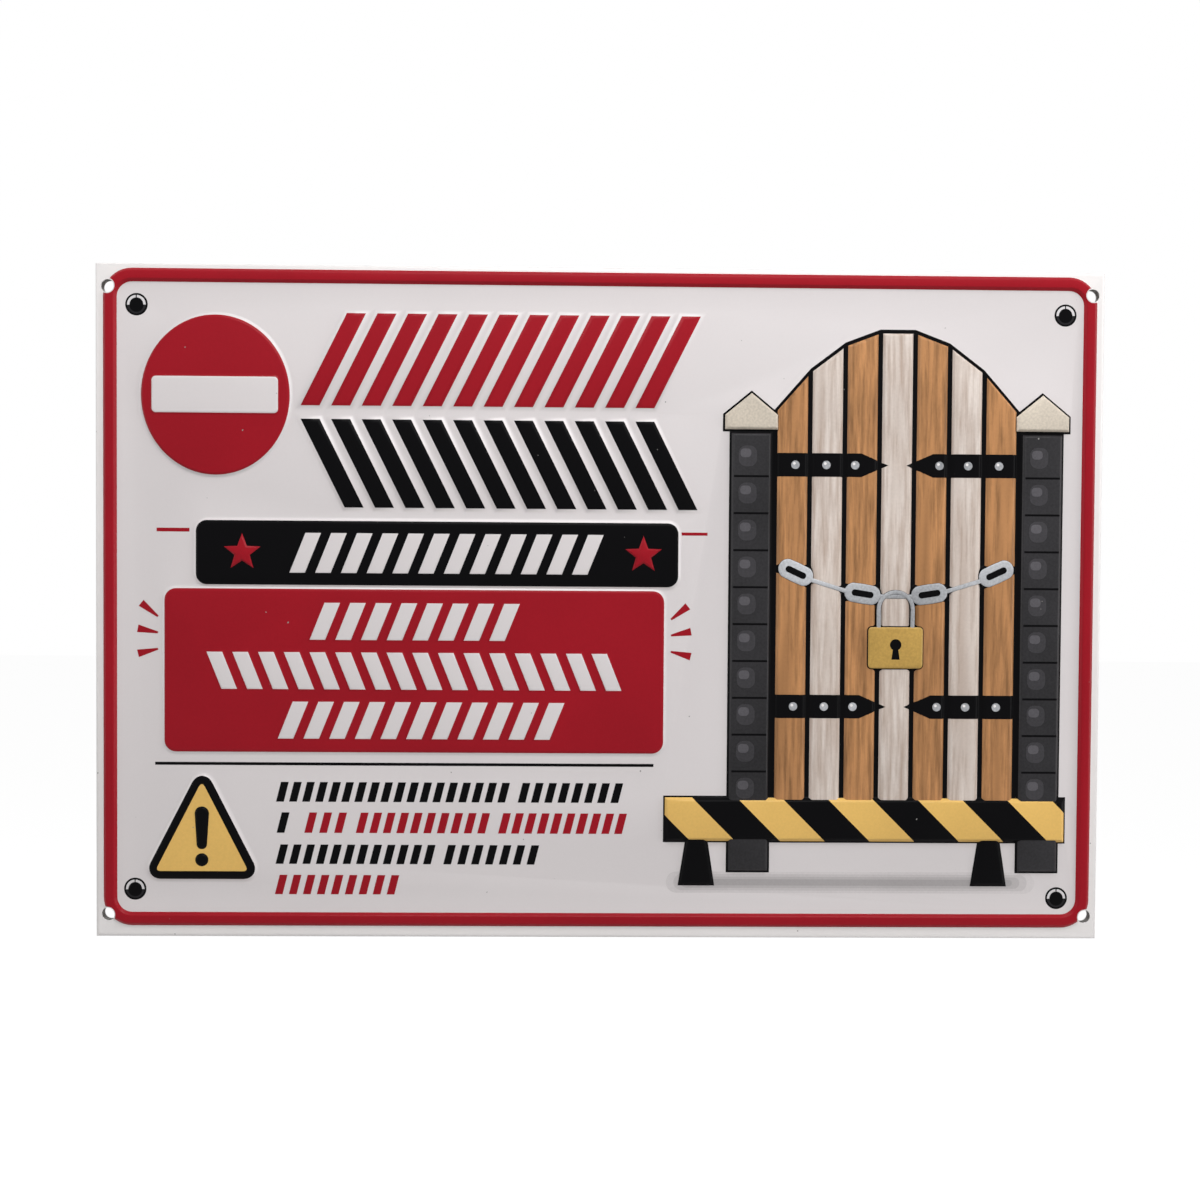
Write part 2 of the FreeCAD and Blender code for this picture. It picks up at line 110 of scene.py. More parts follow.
# Places on the field, from the middle of the plate. A frame is left, low, right and high.
BORDER = (mm(-147.4), mm(-96.4), mm(147.4), mm(98.4))
DISC_X, DISC_Z = mm(-114.25), mm(61.25)
UPPER_ROW_TOP = mm(85.6)
LOWER_ROW_TOP = mm(54.4)
ROWS_LEFT = mm(-89.2)
COLUMN_RIGHT = mm(29.8)
STRIP = (mm(-120.0), mm(5.3), mm(22.9), mm(24.3))
PANEL = (mm(-129.3), mm(-44.4), mm(18.8), mm(4.1))
TRIANGLE_X = mm(-118.15)
TRIANGLE_BASE = mm(-82.4)
SIGNAL_Z = mm(-67.05)
DOT_Z = mm(-76.6)
EYELETS = ((mm(-137.6), mm(87.7)), (mm(137.9), mm(87.1)), (mm(-138.1), mm(-85.5)), (mm(137.6), mm(-87.5)))

# How far a raised white mark leans over, as a share of its height
MARK_LEAN = 0.4

# The picture: its middle, its ends, the ground line and the gate between its posts
PICTURE_X = mm(87.9)
PICTURE_TOP = mm(82.0)
PICTURE_BOTTOM = mm(-84.0)
GROUND = mm(-80.0)
BOARD_BOTTOM = GROUND + mm(9)
GATE_HALF_WIDTH = mm(36.3)
POST_OVERHANG = mm(2)
SHACKLE_RADIUS, SHACKLE_WIRE, SHACKLE_LEG = mm(6.4), mm(2.6), mm(4)

# How high the forms of the picture stand that carry flat print
PLANK_RISE = mm(0.8)
POST_RISE = mm(1)
LINK_RISE = mm(1.1)
LOCK_RISE = mm(1.4)


def length(name, words, default):
    return FloatProperty(name=name, description=words, default=mm(default), unit="LENGTH")


def colour(name, words, default):
    return FloatVectorProperty(name=name, description=words, default=default, subtype="COLOR", size=3,
                               min=0, max=1)


class SheetSizes(bpy.types.PropertyGroup):
    width: length("Width", "Outside width of the plate", 300)
    height: length("Height", "Outside height of the plate", 200)
    thickness: length("Thickness", "Thickness of the tinplate", 0.3)
    hem: length("Hem", "Thickness across the folded edge", 2.8)
    hem_steps: IntProperty(name="Hem steps", description="Faces round the half circle of the hem", default=14)
    side_flange: length("Side flange", "Width of the flanges at the sides", 12)
    end_flange: length("End flange", "Width of the flanges at top and bottom", 7)
    slit: length("Slit", "Gap between two flanges at a corner", 0.4)
    hole: length("Hole", "Diameter of a fixing hole", 4)
    hole_rim: length("Hole rim", "Width of the unprinted rim round a hole", 0.3)
    hole_x: length("Hole X", "From the middle to a hole, sideways", 146)
    hole_z: length("Hole Z", "From the middle to a hole, upwards", 93)


class ReliefSizes(bpy.types.PropertyGroup):
    bead_width: length("Bead width", "Width of the border", 4)
    bead_rise: length("Bead rise", "Height of the border", 0.9)
    bead_radius: length("Bead radius", "Outside radius of the border's corners", 8.5)
    disc_width: length("Disc width", "Width of the disc", 43.7)
    disc_height: length("Disc height", "Height of the disc", 47.1)
    disc_rise: length("Disc rise", "Height of its relief", 1)
    bar_width: length("Bar width", "Width of the white bar", 37.1)
    bar_height: length("Bar height", "Height of the white bar", 10.7)
    stripe_width: length("Stripe width", "Width of a slanted stripe", 5.6)
    stripe_spacing: length("Stripe spacing", "From one stripe to the next", 9)
    stripe_rise: length("Stripe rise", "Height of a stripe's relief", 1)
    strip_rise: length("Strip rise", "Height of the starred strip", 0.9)
    panel_rise: length("Panel rise", "Height of the large panel", 0.7)
    mark_width: length("Mark width", "Width of a white mark", 4.6)
    mark_spacing: length("Mark spacing", "From one mark to the next", 7.6)
    mark_rise: length("Mark rise", "Height of a mark above the form that carries it", 0.4)
    triangle_rise: length("Triangle rise", "Height of the warning triangle", 0.8)


class PictureSizes(bpy.types.PropertyGroup):
    width: length("Width", "Width over the post caps", 104)
    post_width: length("Post width", "Width of a post", 13)
    post_height: length("Post height", "Height of a post", 132)
    plank_spacing: length("Plank spacing", "From one plank to the next", 10.4)
    plank_gap: length("Plank gap", "Gap between planks", 0.7)
    arch: length("Arch", "Drop of the arch at the posts", 24)
    chain_height: length("Chain height", "Height of the chain's ends", 90)
    chain_sag: length("Chain sag", "How far the chain hangs", 7)
    board_height: length("Board height", "Height of the striped board", 14)
    board_overhang: length("Board overhang", "How far the board passes the left post's cap", 16.9)
    board_stripe: length("Board stripe", "Width of one stripe of the board", 9.5)


class PrintColours(bpy.types.PropertyGroup):
    lacquer: colour("Lacquer", "Tinted white of the field", (0.700, 0.658, 0.660))
    # A lighter white than the field's lacquer: painted light on the margin and the rolled hem
    painted_light: colour("Plain", "Plain white outside the border", (0.84, 0.81, 0.80))
    red: colour("Red", "Red of the disc, rows and panel", (0.322, 0.0062, 0.0148))
    black: colour("Black", "Printed black", (0.0022, 0.0021, 0.0026))
    yellow: colour("Yellow", "Yellow of the warning triangle", (0.790, 0.495, 0.140))
    tan: colour("Tan", "Tan planks", (0.560, 0.270, 0.110))
    cream: colour("Cream", "Whitewashed planks", (0.720, 0.640, 0.585))
    stone: colour("Stone", "Caps of the posts", (0.62, 0.55, 0.46))
    charcoal: colour("Charcoal", "Blocks of the posts", (0.020, 0.019, 0.021))
    steel: colour("Steel", "Chain and shackle", (0.42, 0.43, 0.45))
    brass: colour("Brass", "Padlock", (0.53, 0.33, 0.085))
    back: colour("Back", "Thin pale coat behind", (0.70, 0.68, 0.66))


# Tools of the bench: selecting, starting a form, pressing it


def deselect_all():
    if bpy.context.object and bpy.context.object.mode != "OBJECT":
        bpy.ops.object.mode_set(mode="OBJECT")
    bpy.ops.object.select_all(action="DESELECT")


def activate(piece):
    deselect_all()
    piece.select_set(True)
    bpy.context.view_layer.objects.active = piece


def edit_all(piece):
    """Enters edit mode, with the whole piece selected."""
    activate(piece)
    bpy.ops.object.mode_set(mode="EDIT")
    bpy.ops.mesh.select_all(action="SELECT")


def finish_editing():
    bpy.ops.object.mode_set(mode="OBJECT")


def pick(piece, kind, test):
    """Selects, in edit mode, the vertices, edges or faces whose middle passes the test."""
    if bpy.context.object is not piece or piece.mode != "EDIT":
        edit_all(piece)
    bpy.ops.mesh.select_mode(type=kind)
    bpy.ops.mesh.select_all(action="DESELECT")
    mesh = bmesh.from_edit_mesh(piece.data)
    mesh.normal_update()
    if kind == "VERT":
        parts = [(vert.co, vert) for vert in mesh.verts]
    elif kind == "EDGE":
        parts = [((edge.verts[0].co + edge.verts[1].co) / 2, edge) for edge in mesh.edges]
    else:
        parts = [(face.calc_center_median(), face) for face in mesh.faces]
    found = [part for middle, part in parts if test(middle, part)]
    for part in found:
        part.select_set(True)
    mesh.select_flush_mode()
    bmesh.update_edit_mesh(piece.data)
    return len(found)


def move_picked(x=0.0, z=0.0):
    bpy.ops.transform.translate(value=(x, 0, z))


def stretch_picked(size, middle):
    bpy.ops.transform.resize(value=size, center_override=middle)


def front_faces(middle, face):
    return face.normal.y < -ALONG


def large_fronts(side):
    """The test for a front face that is larger than a square of the given side."""
    return lambda middle, face: front_faces(middle, face) and face.calc_area() > side ** 2


def runs_back(middle, edge):
    """An edge that runs straight from front to back."""
    way = edge.verts[0].co - edge.verts[1].co
    return abs(way.y) > ALONG * way.length


def on_rim(middle, edge):
    return edge.is_boundary


def recalculate_normals():
    bpy.ops.mesh.select_all(action="SELECT")
    bpy.ops.mesh.normals_make_consistent(inside=False)


def ink_selected(piece, ink):
    mesh = bmesh.from_edit_mesh(piece.data)
    for face in mesh.faces:
        if face.select:
            face.material_index = INKS.index(ink)
    bmesh.update_edit_mesh(piece.data)


def give_materials(piece, names):
    piece.data.materials.clear()
    for name in names:
        piece.data.materials.append(bpy.data.materials[name])


def keep_one_ink(piece, ink):
    give_materials(piece, [ink])
    for face in piece.data.polygons:
        face.material_index = 0


def apply_modifier(piece, kind, **settings):
    """Adds a modifier to a piece and applies it."""
    activate(piece)
    modifier = piece.modifiers.new(kind.title(), kind)
    for key, value in settings.items():
        setattr(modifier, key, value)
    bpy.ops.object.modifier_apply(modifier=modifier.name)


def boolean(piece, tool, operation):
    apply_modifier(piece, "BOOLEAN", operation=operation, solver="EXACT", material_mode="INDEX", object=tool)


def repeat(piece, count, spacing):
    """Copies a form along a row."""
    if count > 1:
        apply_modifier(piece, "ARRAY", use_relative_offset=False, use_constant_offset=True,
                       constant_offset_displace=(spacing, 0, 0), count=count)
    return piece


def join(pieces):
    deselect_all()
    for piece in pieces:
        piece.select_set(True)
    bpy.context.view_layer.objects.active = pieces[0]
    if len(pieces) > 1:
        bpy.ops.object.join()
    return bpy.context.object


def remove(piece):
    bpy.data.objects.remove(piece, do_unlink=True)


def field_plane():
    """Where the flat front of the sheet lies."""
    return -bpy.context.scene.sign_sheet.hem


def named_and_sized(name, size, turn=True):
    """Names the primitive that was just added, and puts its place, turn and size in its mesh."""
    piece = bpy.context.object
    piece.name = name
    piece.scale = size
    bpy.ops.object.transform_apply(location=True, rotation=turn, scale=True)
    return piece


def plate(name, x, z, width, height, depth, thickness, corners=4):
    """A plate in the plane of the sheet, whose middle lies at depth. It is a block, or with more
    or fewer corners than four a round or many-cornered one, whose first corner points up."""
    deselect_all()
    if corners == 4:
        bpy.ops.mesh.primitive_cube_add(size=1, location=(x, depth, z))
        return named_and_sized(name, (width, thickness, height), turn=False)
    bpy.ops.mesh.primitive_cylinder_add(vertices=corners, radius=0.5, depth=thickness,
                                        location=(x, depth, z), rotation=(math.pi / 2, 0, 0))
    return named_and_sized(name, (width, height, 1))


def start_form(name, x, z, width, height, floor=0.0, corners=4):
    """A plate to be pressed, whose front lies on a floor that is so far above the field."""
    piece = plate(name, x, z, width, height, field_plane() - floor + BURIED / 2, BURIED, corners)
    give_materials(piece, INKS)
    return piece


def flat_plate(name, x, z, width, height, level=0.0, film=FILM, corners=4):
    """A thin plate of ink that lies on the field, or on a form whose crown is at level."""
    return plate(name, x, z, width, height, field_plane() - level, 2 * film, corners)


def spot(name, x, z, size, level=0.0, film=FILM, corners=48):
    """A thin round plate of ink."""
    return flat_plate(name, x, z, size, size, level, film, corners)


def rounded_plate(name, x, z, width, height, radius, level=0.0, film=FILM, steps=6):
    piece = flat_plate(name, x, z, width, height, level, film)
    round_corners(piece, radius, steps)
    finish_editing()
    return piece


def upright_form(name, foot, outline):
    """A form that stands on foot, and whose top runs through the points x, z of the outline."""
    left, right = outline[0][0], outline[-1][0]
    top = max(z for x, z in outline)
    middle_height = (foot + top) / 2
    piece = start_form(name, (left + right) / 2, middle_height, right - left, top - foot)
    for x, z in outline[1:-1]:
        edit_all(piece)
        bpy.ops.mesh.bisect(plane_co=(x, 0, 0), plane_no=(1, 0, 0))
    for x, z in outline:
        pick(piece, "VERT", lambda place, vert: place.z > middle_height and abs(place.x - x) < NEAR)
        move_picked(z=z - top)
    finish_editing()
    return piece


def round_corners(piece, radius, steps, test=None, corner=math.pi / 2):
    """Rounds the corners of a plate's outline, whose sides meet there at the given angle."""
    pick(piece, "EDGE", lambda middle, edge: runs_back(middle, edge) and (test is None or test(middle)))
    bulge = (1 - 1 / (2 + 2 * math.sin(corner / 2))) ** 2
    bpy.ops.mesh.bevel(offset=radius / math.tan(corner / 2), offset_type="OFFSET", segments=steps,
                       profile=bulge, affect="EDGES", clamp_overlap=True)


def lean_top(piece, lean):
    """Slants a plate, so that its top stands to the right of its foot by lean times its height."""
    heights = [vert.co.z for vert in piece.data.vertices]
    low, high = min(heights), max(heights)
    pick(piece, "VERT", lambda place, vert: place.z > (low + high) / 2)
    move_picked(lean * (high - low))
    finish_editing()


def turned(piece, x, z, angle):
    """Turns a plate in the plane of the sheet about x and z, anticlockwise for the reader."""
    activate(piece)
    bpy.context.scene.cursor.location = (x, 0, z)
    bpy.ops.object.origin_set(type="ORIGIN_CURSOR")
    piece.rotation_euler = (0, -angle, 0)
    bpy.ops.object.transform_apply(location=True, rotation=True, scale=True)
    return piece


def hollow_out(piece, width):
    """Leaves only a rim of a plate's outline, of the given width."""
    pick(piece, "FACE", lambda middle, face: abs(face.normal.y) > ALONG)
    bpy.ops.mesh.inset(thickness=width, depth=0, use_even_offset=True)
    bpy.ops.mesh.delete(type="ONLY_FACE")
    pick(piece, "EDGE", on_rim)
    bpy.ops.mesh.bridge_edge_loops()
    recalculate_normals()


def soft_step(share):
    """The height of a pressed slope at a share of its width: flat at the foot and the crown."""
    return (1 - math.cos(math.pi * share)) / 2


def flatten_selected(level):
    """Brings the selected part to exactly one level, so that forms meet in one plane."""
    stretch_picked((1, 0, 1), (0, level, 0))


def press(piece, rise, slope, ink, floor=0.0, steps=7, rim_steps=0, rim_ink="outline_black"):
    """Raises the front of a form from the floor in a soft curve, one inset ring after another."""
    pick(piece, "FACE", front_faces)
    flatten_selected(field_plane() - floor)
    for step in range(steps):
        ink_selected(piece, rim_ink if step < rim_steps else ink)
        climb = rise * (soft_step((step + 1) / steps) - soft_step(step / steps))
        bpy.ops.mesh.inset(thickness=slope / steps, depth=climb, use_even_offset=True)
    ink_selected(piece, ink)
    flatten_selected(field_plane() - floor - rise)
    finish_editing()
    return piece


def press_wide(piece, rise, skirt, ink, floor=0.0, floor_ink="white_lacquer", steps=9, skirt_steps=5):
    """Presses a form whose print starts part of the way up, over a skirt in the floor's own ink."""
    return press(piece, rise, skirt * steps / skirt_steps, ink, floor, steps, skirt_steps, floor_ink)


def mark_creases(piece):
    """Smooth shading with sharp edges: over a wide angle on the single forms, so that their mitred
    corners look soft, and over a narrow one in the picture, where forms meet in valleys."""
    activate(piece)
    bpy.ops.object.shade_smooth()
    wide, narrow, margin = math.radians(58), math.radians(33), mm(2)
    left = PICTURE_X - bpy.context.scene.sign_picture.width / 2 - margin
    right, reach = mm(142), mm(88)

    def sharp(middle, edge):
        if len(edge.link_faces) != 2:
            return True
        in_picture = left < middle.x < right and abs(middle.z) < reach
        return edge.calc_face_angle(0) > (narrow if in_picture else wide)

    pick(piece, "EDGE", sharp)
    bpy.ops.mesh.mark_sharp()
    finish_editing()


def place_on_sign(piece):
    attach(piece, "root")


# The raised forms


def framed_form(name, sides, radius, skirt, steps=8):
    """A form with round corners. Its sides and radius are the print's, and the skirt lies outside."""
    left, low, right, high = sides
    piece = start_form(name, (left + right) / 2, (low + high) / 2, right - left + 2 * skirt,
                       high - low + 2 * skirt)
    round_corners(piece, radius + skirt, steps)
    return piece


def border_bead(relief):
    skirt = mm(0.15)
    piece = framed_form("bead", BORDER, relief.bead_radius, skirt, 10)
    hollow_out(piece, relief.bead_width + 2 * skirt)
    return [press_wide(piece, relief.bead_rise, skirt, "border_red", steps=8, skirt_steps=1)]


def no_entry_disc(relief):
    skirt, bar_skirt, bar_radius = mm(1.0), mm(0.7), mm(1.2)
    disc = start_form("disc", DISC_X, DISC_Z, relief.disc_width + 2 * skirt, relief.disc_height + 2 * skirt,
                      corners=96)
    press_wide(disc, relief.disc_rise, skirt, "disc_red")
    bar = start_form("bar", DISC_X, DISC_Z, relief.bar_width + 2 * bar_skirt,
                     relief.bar_height + 2 * bar_skirt, relief.disc_rise)
    round_corners(bar, bar_radius + bar_skirt, 6)
    press_wide(bar, relief.mark_rise, bar_skirt, "white_lacquer", relief.disc_rise, "disc_red")
    return [disc], [bar]


def how_many_fit(span, reach, spacing):
    """How many forms of one reach fit in a span, where a hair's breadth too much is let pass."""
    hair = 1e-6
    return max(1, int((span - reach) / spacing + hair) + 1)


def slanted_row(name, left, right, bottom, height, width, spacing, lean, skirt, floor=0.0, centred=False):
    """A slanted form and how many of it fit between left and right. Its skirt lies outside them."""
    reach = width + abs(lean) * height
    count = how_many_fit(right - left, reach, spacing)
    if centred:
        left = (left + right - (count - 1) * spacing - reach) / 2
    foot = left + max(0.0, -lean * height) + width / 2
    piece = start_form(name, foot - lean * skirt, bottom + height / 2,
                       width + 2 * skirt * math.hypot(1, lean), height + 2 * skirt, floor)
    lean_top(piece, lean)
    return piece, count


def chevron_rows(relief):
    skirt, rows = mm(1.3), []
    for name, top, height, lean, ink in (("upper_row", UPPER_ROW_TOP, mm(27.2), 0.5, "row_red"),
                                         ("lower_row", LOWER_ROW_TOP, mm(26.1), -0.5, "row_black")):
        piece, count = slanted_row(name, ROWS_LEFT, COLUMN_RIGHT, top - height, height, relief.stripe_width,
                                   relief.stripe_spacing, lean, skirt)
        press_wide(piece, relief.stripe_rise, skirt, ink)
        rows.append(repeat(piece, count, relief.stripe_spacing))
    return rows


def row_of_marks(left, right, bottom, height, lean, floor, floor_ink, relief):
    """Slanted white marks on a form, in the middle between left and right."""
    skirt = mm(0.7)
    piece, count = slanted_row("marks", left, right, bottom, height, relief.mark_width, relief.mark_spacing,
                               lean, skirt, floor, centred=True)
    press_wide(piece, relief.mark_rise, skirt, "white_lacquer", floor, floor_ink)
    return repeat(piece, count, relief.mark_spacing)


def star(x, z, relief):
    """A star of five points, from ten corners of which every other one is drawn in."""
    size, waist, slope, same_angle = mm(11.4), 0.42, mm(0.55), 0.1
    piece = start_form("star", x, z, size, size, relief.strip_rise, corners=10)
    inner = [math.pi / 2 + (2 * i + 1) * math.pi / 5 for i in range(5)]

    def drawn_in(place, vert):
        angle = math.atan2(place.z - z, place.x - x)
        return any(abs(math.remainder(angle - corner, 2 * math.pi)) < same_angle for corner in inner)

    pick(piece, "VERT", drawn_in)
    stretch_picked((waist, 1, waist), (x, 0, z))
    finish_editing()
    return press(piece, relief.mark_rise, slope, "star_red", relief.strip_rise, steps=4)


def starred_strip(relief):
    skirt, radius, mark_height = mm(1.2), mm(3.2), mm(11.8)
    strip = framed_form("strip", STRIP, radius, skirt)
    press_wide(strip, relief.strip_rise, skirt, "strip_black")
    left, low, right, high = STRIP
    middle = (low + high) / 2
    stars = [star(x, middle, relief) for x in (left + mm(13.7), right - mm(10.4))]
    marks_left, marks_right = left + mm(26.0), right - mm(20.6)
    marks = row_of_marks(marks_left, marks_right, middle - mark_height / 2, mark_height, MARK_LEAN,
                         relief.strip_rise, "strip_black", relief)
    return [strip], stars + [marks]


def marked_panel(relief):
    skirt, radius, height, gap = mm(1.2), mm(3.4), mm(11.0), mm(3.7)
    panel = framed_form("panel", PANEL, radius, skirt)
    press_wide(panel, relief.panel_rise, skirt, "panel_red")
    left, low, right, high = PANEL
    top = (low + high) / 2 + (3 * height + 2 * gap) / 2
    rows = []
    for i, (left_inset, right_inset) in enumerate(((42.4, 42.4), (11.2, 11.2), (32.1, 28.0))):
        bottom = top - height - i * (height + gap)
        lean = MARK_LEAN if i % 2 == 0 else -MARK_LEAN
        rows.append(row_of_marks(left + mm(left_inset), right - mm(right_inset), bottom, height, lean,
                                 relief.panel_rise, "panel_red", relief))
    return [panel], rows


def warning_triangle(relief):
    skirt, border = mm(1.2), mm(1.45)
    width, height, radius = mm(35.5), mm(34.6), mm(3.2) + skirt
    half_foot_angle = math.atan2(height, width / 2) / 2
    base = TRIANGLE_BASE - skirt
    widened = 2 * skirt / math.tan(half_foot_angle)
    height *= 1 + widened / width
    width += widened
    # Three corners on a circle are three quarters of it high, and half of the root of three wide
    piece = start_form("triangle", TRIANGLE_X, base + height / 3, width / math.sqrt(0.75), height / 0.75,
                       corners=3)
    halfway = base + height / 2
    round_corners(piece, radius, 8, lambda middle: middle.z < halfway, 2 * half_foot_angle)
    round_corners(piece, radius, 8, lambda middle: middle.z > halfway, math.pi - 4 * half_foot_angle)
    press_wide(piece, relief.triangle_rise, skirt, "warning_black")
    pick(piece, "FACE", large_fronts(mm(10)))
    bpy.ops.mesh.inset(thickness=border, depth=0, use_even_offset=True)
    ink_selected(piece, "warning_yellow")
    finish_editing()
    return [piece]


def warning_signal(relief):
    """The upright signal in the triangle, narrower at its foot, and the dot below it."""
    width, height, foot_share, dot_width = mm(4.5), mm(12.7), 0.64, mm(3.9)
    top_radius, foot_radius, slope = mm(2.2), mm(1.3), mm(0.75)
    signal = start_form("signal", TRIANGLE_X, SIGNAL_Z, width, height, relief.triangle_rise)
    pick(signal, "VERT", lambda place, vert: place.z < SIGNAL_Z)
    stretch_picked((foot_share, 1, 1), (TRIANGLE_X, 0, 0))
    round_corners(signal, top_radius, 7, lambda middle: middle.z > SIGNAL_Z)
    round_corners(signal, foot_radius, 6, lambda middle: middle.z < SIGNAL_Z)
    dot = start_form("dot", TRIANGLE_X, DOT_Z, dot_width, dot_width, relief.triangle_rise, corners=28)
    return [press(mark, relief.mark_rise, slope, "warning_black", relief.triangle_rise, steps=4)
            for mark in (signal, dot)]


def post_places(picture):
    """The middles of the left and the right post."""
    reach = picture.width / 2 - POST_OVERHANG - picture.post_width / 2
    return PICTURE_X - reach, PICTURE_X + reach


def gate_posts(picture):
    posts, caps = [], []
    top = GROUND + picture.post_height
    cap_height, peak, overlap, cap_rise, slope = mm(5), mm(7), mm(0.2), mm(1.2), mm(1.5)
    half_cap, eaves = picture.post_width / 2 + POST_OVERHANG, top + cap_height
    for x in post_places(picture):
        post = start_form("post", x, (GROUND + top) / 2, picture.post_width, top - GROUND)
        posts.append(press(post, POST_RISE, slope, "post_charcoal", rim_steps=3))
        cap = upright_form("cap", top - overlap,
                           [(x - half_cap, eaves), (x, eaves + peak), (x + half_cap, eaves)])
        caps.append(press(cap, cap_rise, slope, "cap_stone", rim_steps=3))
    return posts, caps


def on_arch(x, picture, lift=0.0):
    """The point of the gate's arch above x, lifted by lift."""
    return x, PICTURE_TOP - picture.arch * ((x - PICTURE_X) / GATE_HALF_WIDTH) ** 2 + lift


def plank_places(picture):
    """The left and the right side of each plank."""
    spacing, gap = picture.plank_spacing, picture.plank_gap
    count = int((2 * GATE_HALF_WIDTH + gap) / spacing)
    start, width = PICTURE_X - (count * spacing - gap) / 2, spacing - gap
    return [(start + i * spacing, start + i * spacing + width) for i in range(count)]


def gate_planks(picture):
    foot, slope = GROUND + mm(14), mm(1.3)
    planks = []
    for i, (left, right) in enumerate(plank_places(picture)):
        plank = upright_form("plank", foot, [on_arch(left, picture), on_arch(right, picture)])
        ink = "plank_tan" if i % 2 == 0 else "plank_pale"
        planks.append(press(plank, PLANK_RISE, slope, ink, rim_steps=2))
    return planks


def gate_shadow(picture):
    """The dark print between and round the planks, which stands hardly higher than the field."""
    foot, margin, lift, rise, slope = GROUND + mm(16), mm(1.0), mm(0.9), mm(0.03), mm(0.2)
    places = plank_places(picture)
    gaps = [left - picture.plank_gap / 2 for left, right in places[1:]]
    sides = [places[0][0] - margin, *gaps, places[-1][1] + margin]
    piece = upright_form("gate_shadow", foot, [on_arch(x, picture, lift) for x in sides])
    return [press(piece, rise, slope, "outline_black", steps=1)]


def chain_links(picture):
    """Place, slope and look of each link, from the left post to the right one."""
    lowest = GROUND + picture.chain_height - picture.chain_sag
    spacing = mm(10)
    pairs = int(GATE_HALF_WIDTH / spacing)
    links = []
    for i in range(-pairs, pairs + 1):
        z = lowest + picture.chain_sag * (i / pairs) ** 2
        climb = math.atan(2 * picture.chain_sag * i / (pairs ** 2 * spacing))
        links.append((PICTURE_X + i * spacing, z, climb, i % 2 == 1))
    return links


def chain(picture):
    """Open links, each two half circles drawn apart, and between them links seen from the edge."""
    span, height, edge_height = mm(13), mm(8), mm(2.8)
    open_slope, edge_rise, edge_slope = mm(1.5), mm(1.04), mm(1.1)
    open_links, edge_links = [], []
    for x, z, climb, open_link in chain_links(picture):
        if open_link:
            piece = start_form("link", x, z, height, height, corners=24)
            for side in (-1, 1):
                pick(piece, "VERT", lambda place, vert: (place.x - x) * side > NEAR)
                move_picked(side * (span - height) / 2)
            turned(piece, x, z, climb)
            open_links.append(press(piece, LINK_RISE, open_slope, "chain_steel", rim_steps=5))
        else:
            piece = turned(start_form("link", x, z, span, edge_height), x, z, climb)
            edge_links.append(press(piece, edge_rise, edge_slope, "chain_steel", rim_steps=5))
    return open_links, edge_links


def lock_top(picture):
    """The top of the padlock's body, whose shackle hangs in the middle of the chain."""
    return GROUND + picture.chain_height - picture.chain_sag + SHACKLE_WIRE - SHACKLE_RADIUS - SHACKLE_LEG


def padlock(picture):
    """A brass body, and a shackle that ends behind it."""
    width, height, radius, slope = mm(19), mm(15), mm(2.4), mm(1.9)
    shackle_rise, shackle_slope, overlap = mm(1.2), mm(1.0), mm(2.4)
    top = lock_top(picture)
    body = start_form("lock", PICTURE_X, top - height / 2, width, height)
    round_corners(body, radius, 6)
    press(body, LOCK_RISE, slope, "lock_brass", rim_steps=5)
    eye, seat = top + SHACKLE_LEG, top - overlap
    shackle = start_form("shackle", PICTURE_X, eye, 2 * SHACKLE_RADIUS, 2 * SHACKLE_RADIUS, corners=32)
    pick(shackle, "VERT", lambda place, vert: place.z < eye - NEAR)
    move_picked(z=-2 * SHACKLE_RADIUS)
    hollow_out(shackle, SHACKLE_WIRE)
    bpy.ops.mesh.select_all(action="SELECT")
    bpy.ops.mesh.bisect(plane_co=(0, 0, seat), plane_no=(0, 0, 1), use_fill=True, clear_inner=True)
    press(shackle, shackle_rise, shackle_slope, "chain_steel", rim_steps=5)
    return [body], [shackle]


def board_ends(picture):
    """The barrier reaches out past the left post, and ends at the right one's cap."""
    return PICTURE_X - picture.width / 2 - picture.board_overhang, PICTURE_X + picture.width / 2


def barrier_board(picture):
    rise, slope = mm(1.3), mm(1.7)
    left, right = board_ends(picture)
    board = start_form("board", (left + right) / 2, BOARD_BOTTOM + picture.board_height / 2, right - left,
                       picture.board_height)
    return [press(board, rise, slope, "board_yellow", rim_steps=2)]


def barrier_legs(picture):
    """Two legs, wider at the foot, whose tops end behind the board."""
    width, spread, slope = mm(6), 1.83, mm(1.3)
    left, right = board_ends(picture)
    top = BOARD_BOTTOM + mm(3)
    middle_height = (PICTURE_BOTTOM + top) / 2
    legs = []
    for x in (left + mm(10), right - mm(23)):
        leg = start_form("leg", x, middle_height, width, top - PICTURE_BOTTOM)
        pick(leg, "VERT", lambda place, vert: place.z < middle_height)
        stretch_picked((spread, 1, 1), (x, 0, 0))
        legs.append(press(leg, PLANK_RISE, slope, "board_black", rim_steps=2))
    return legs


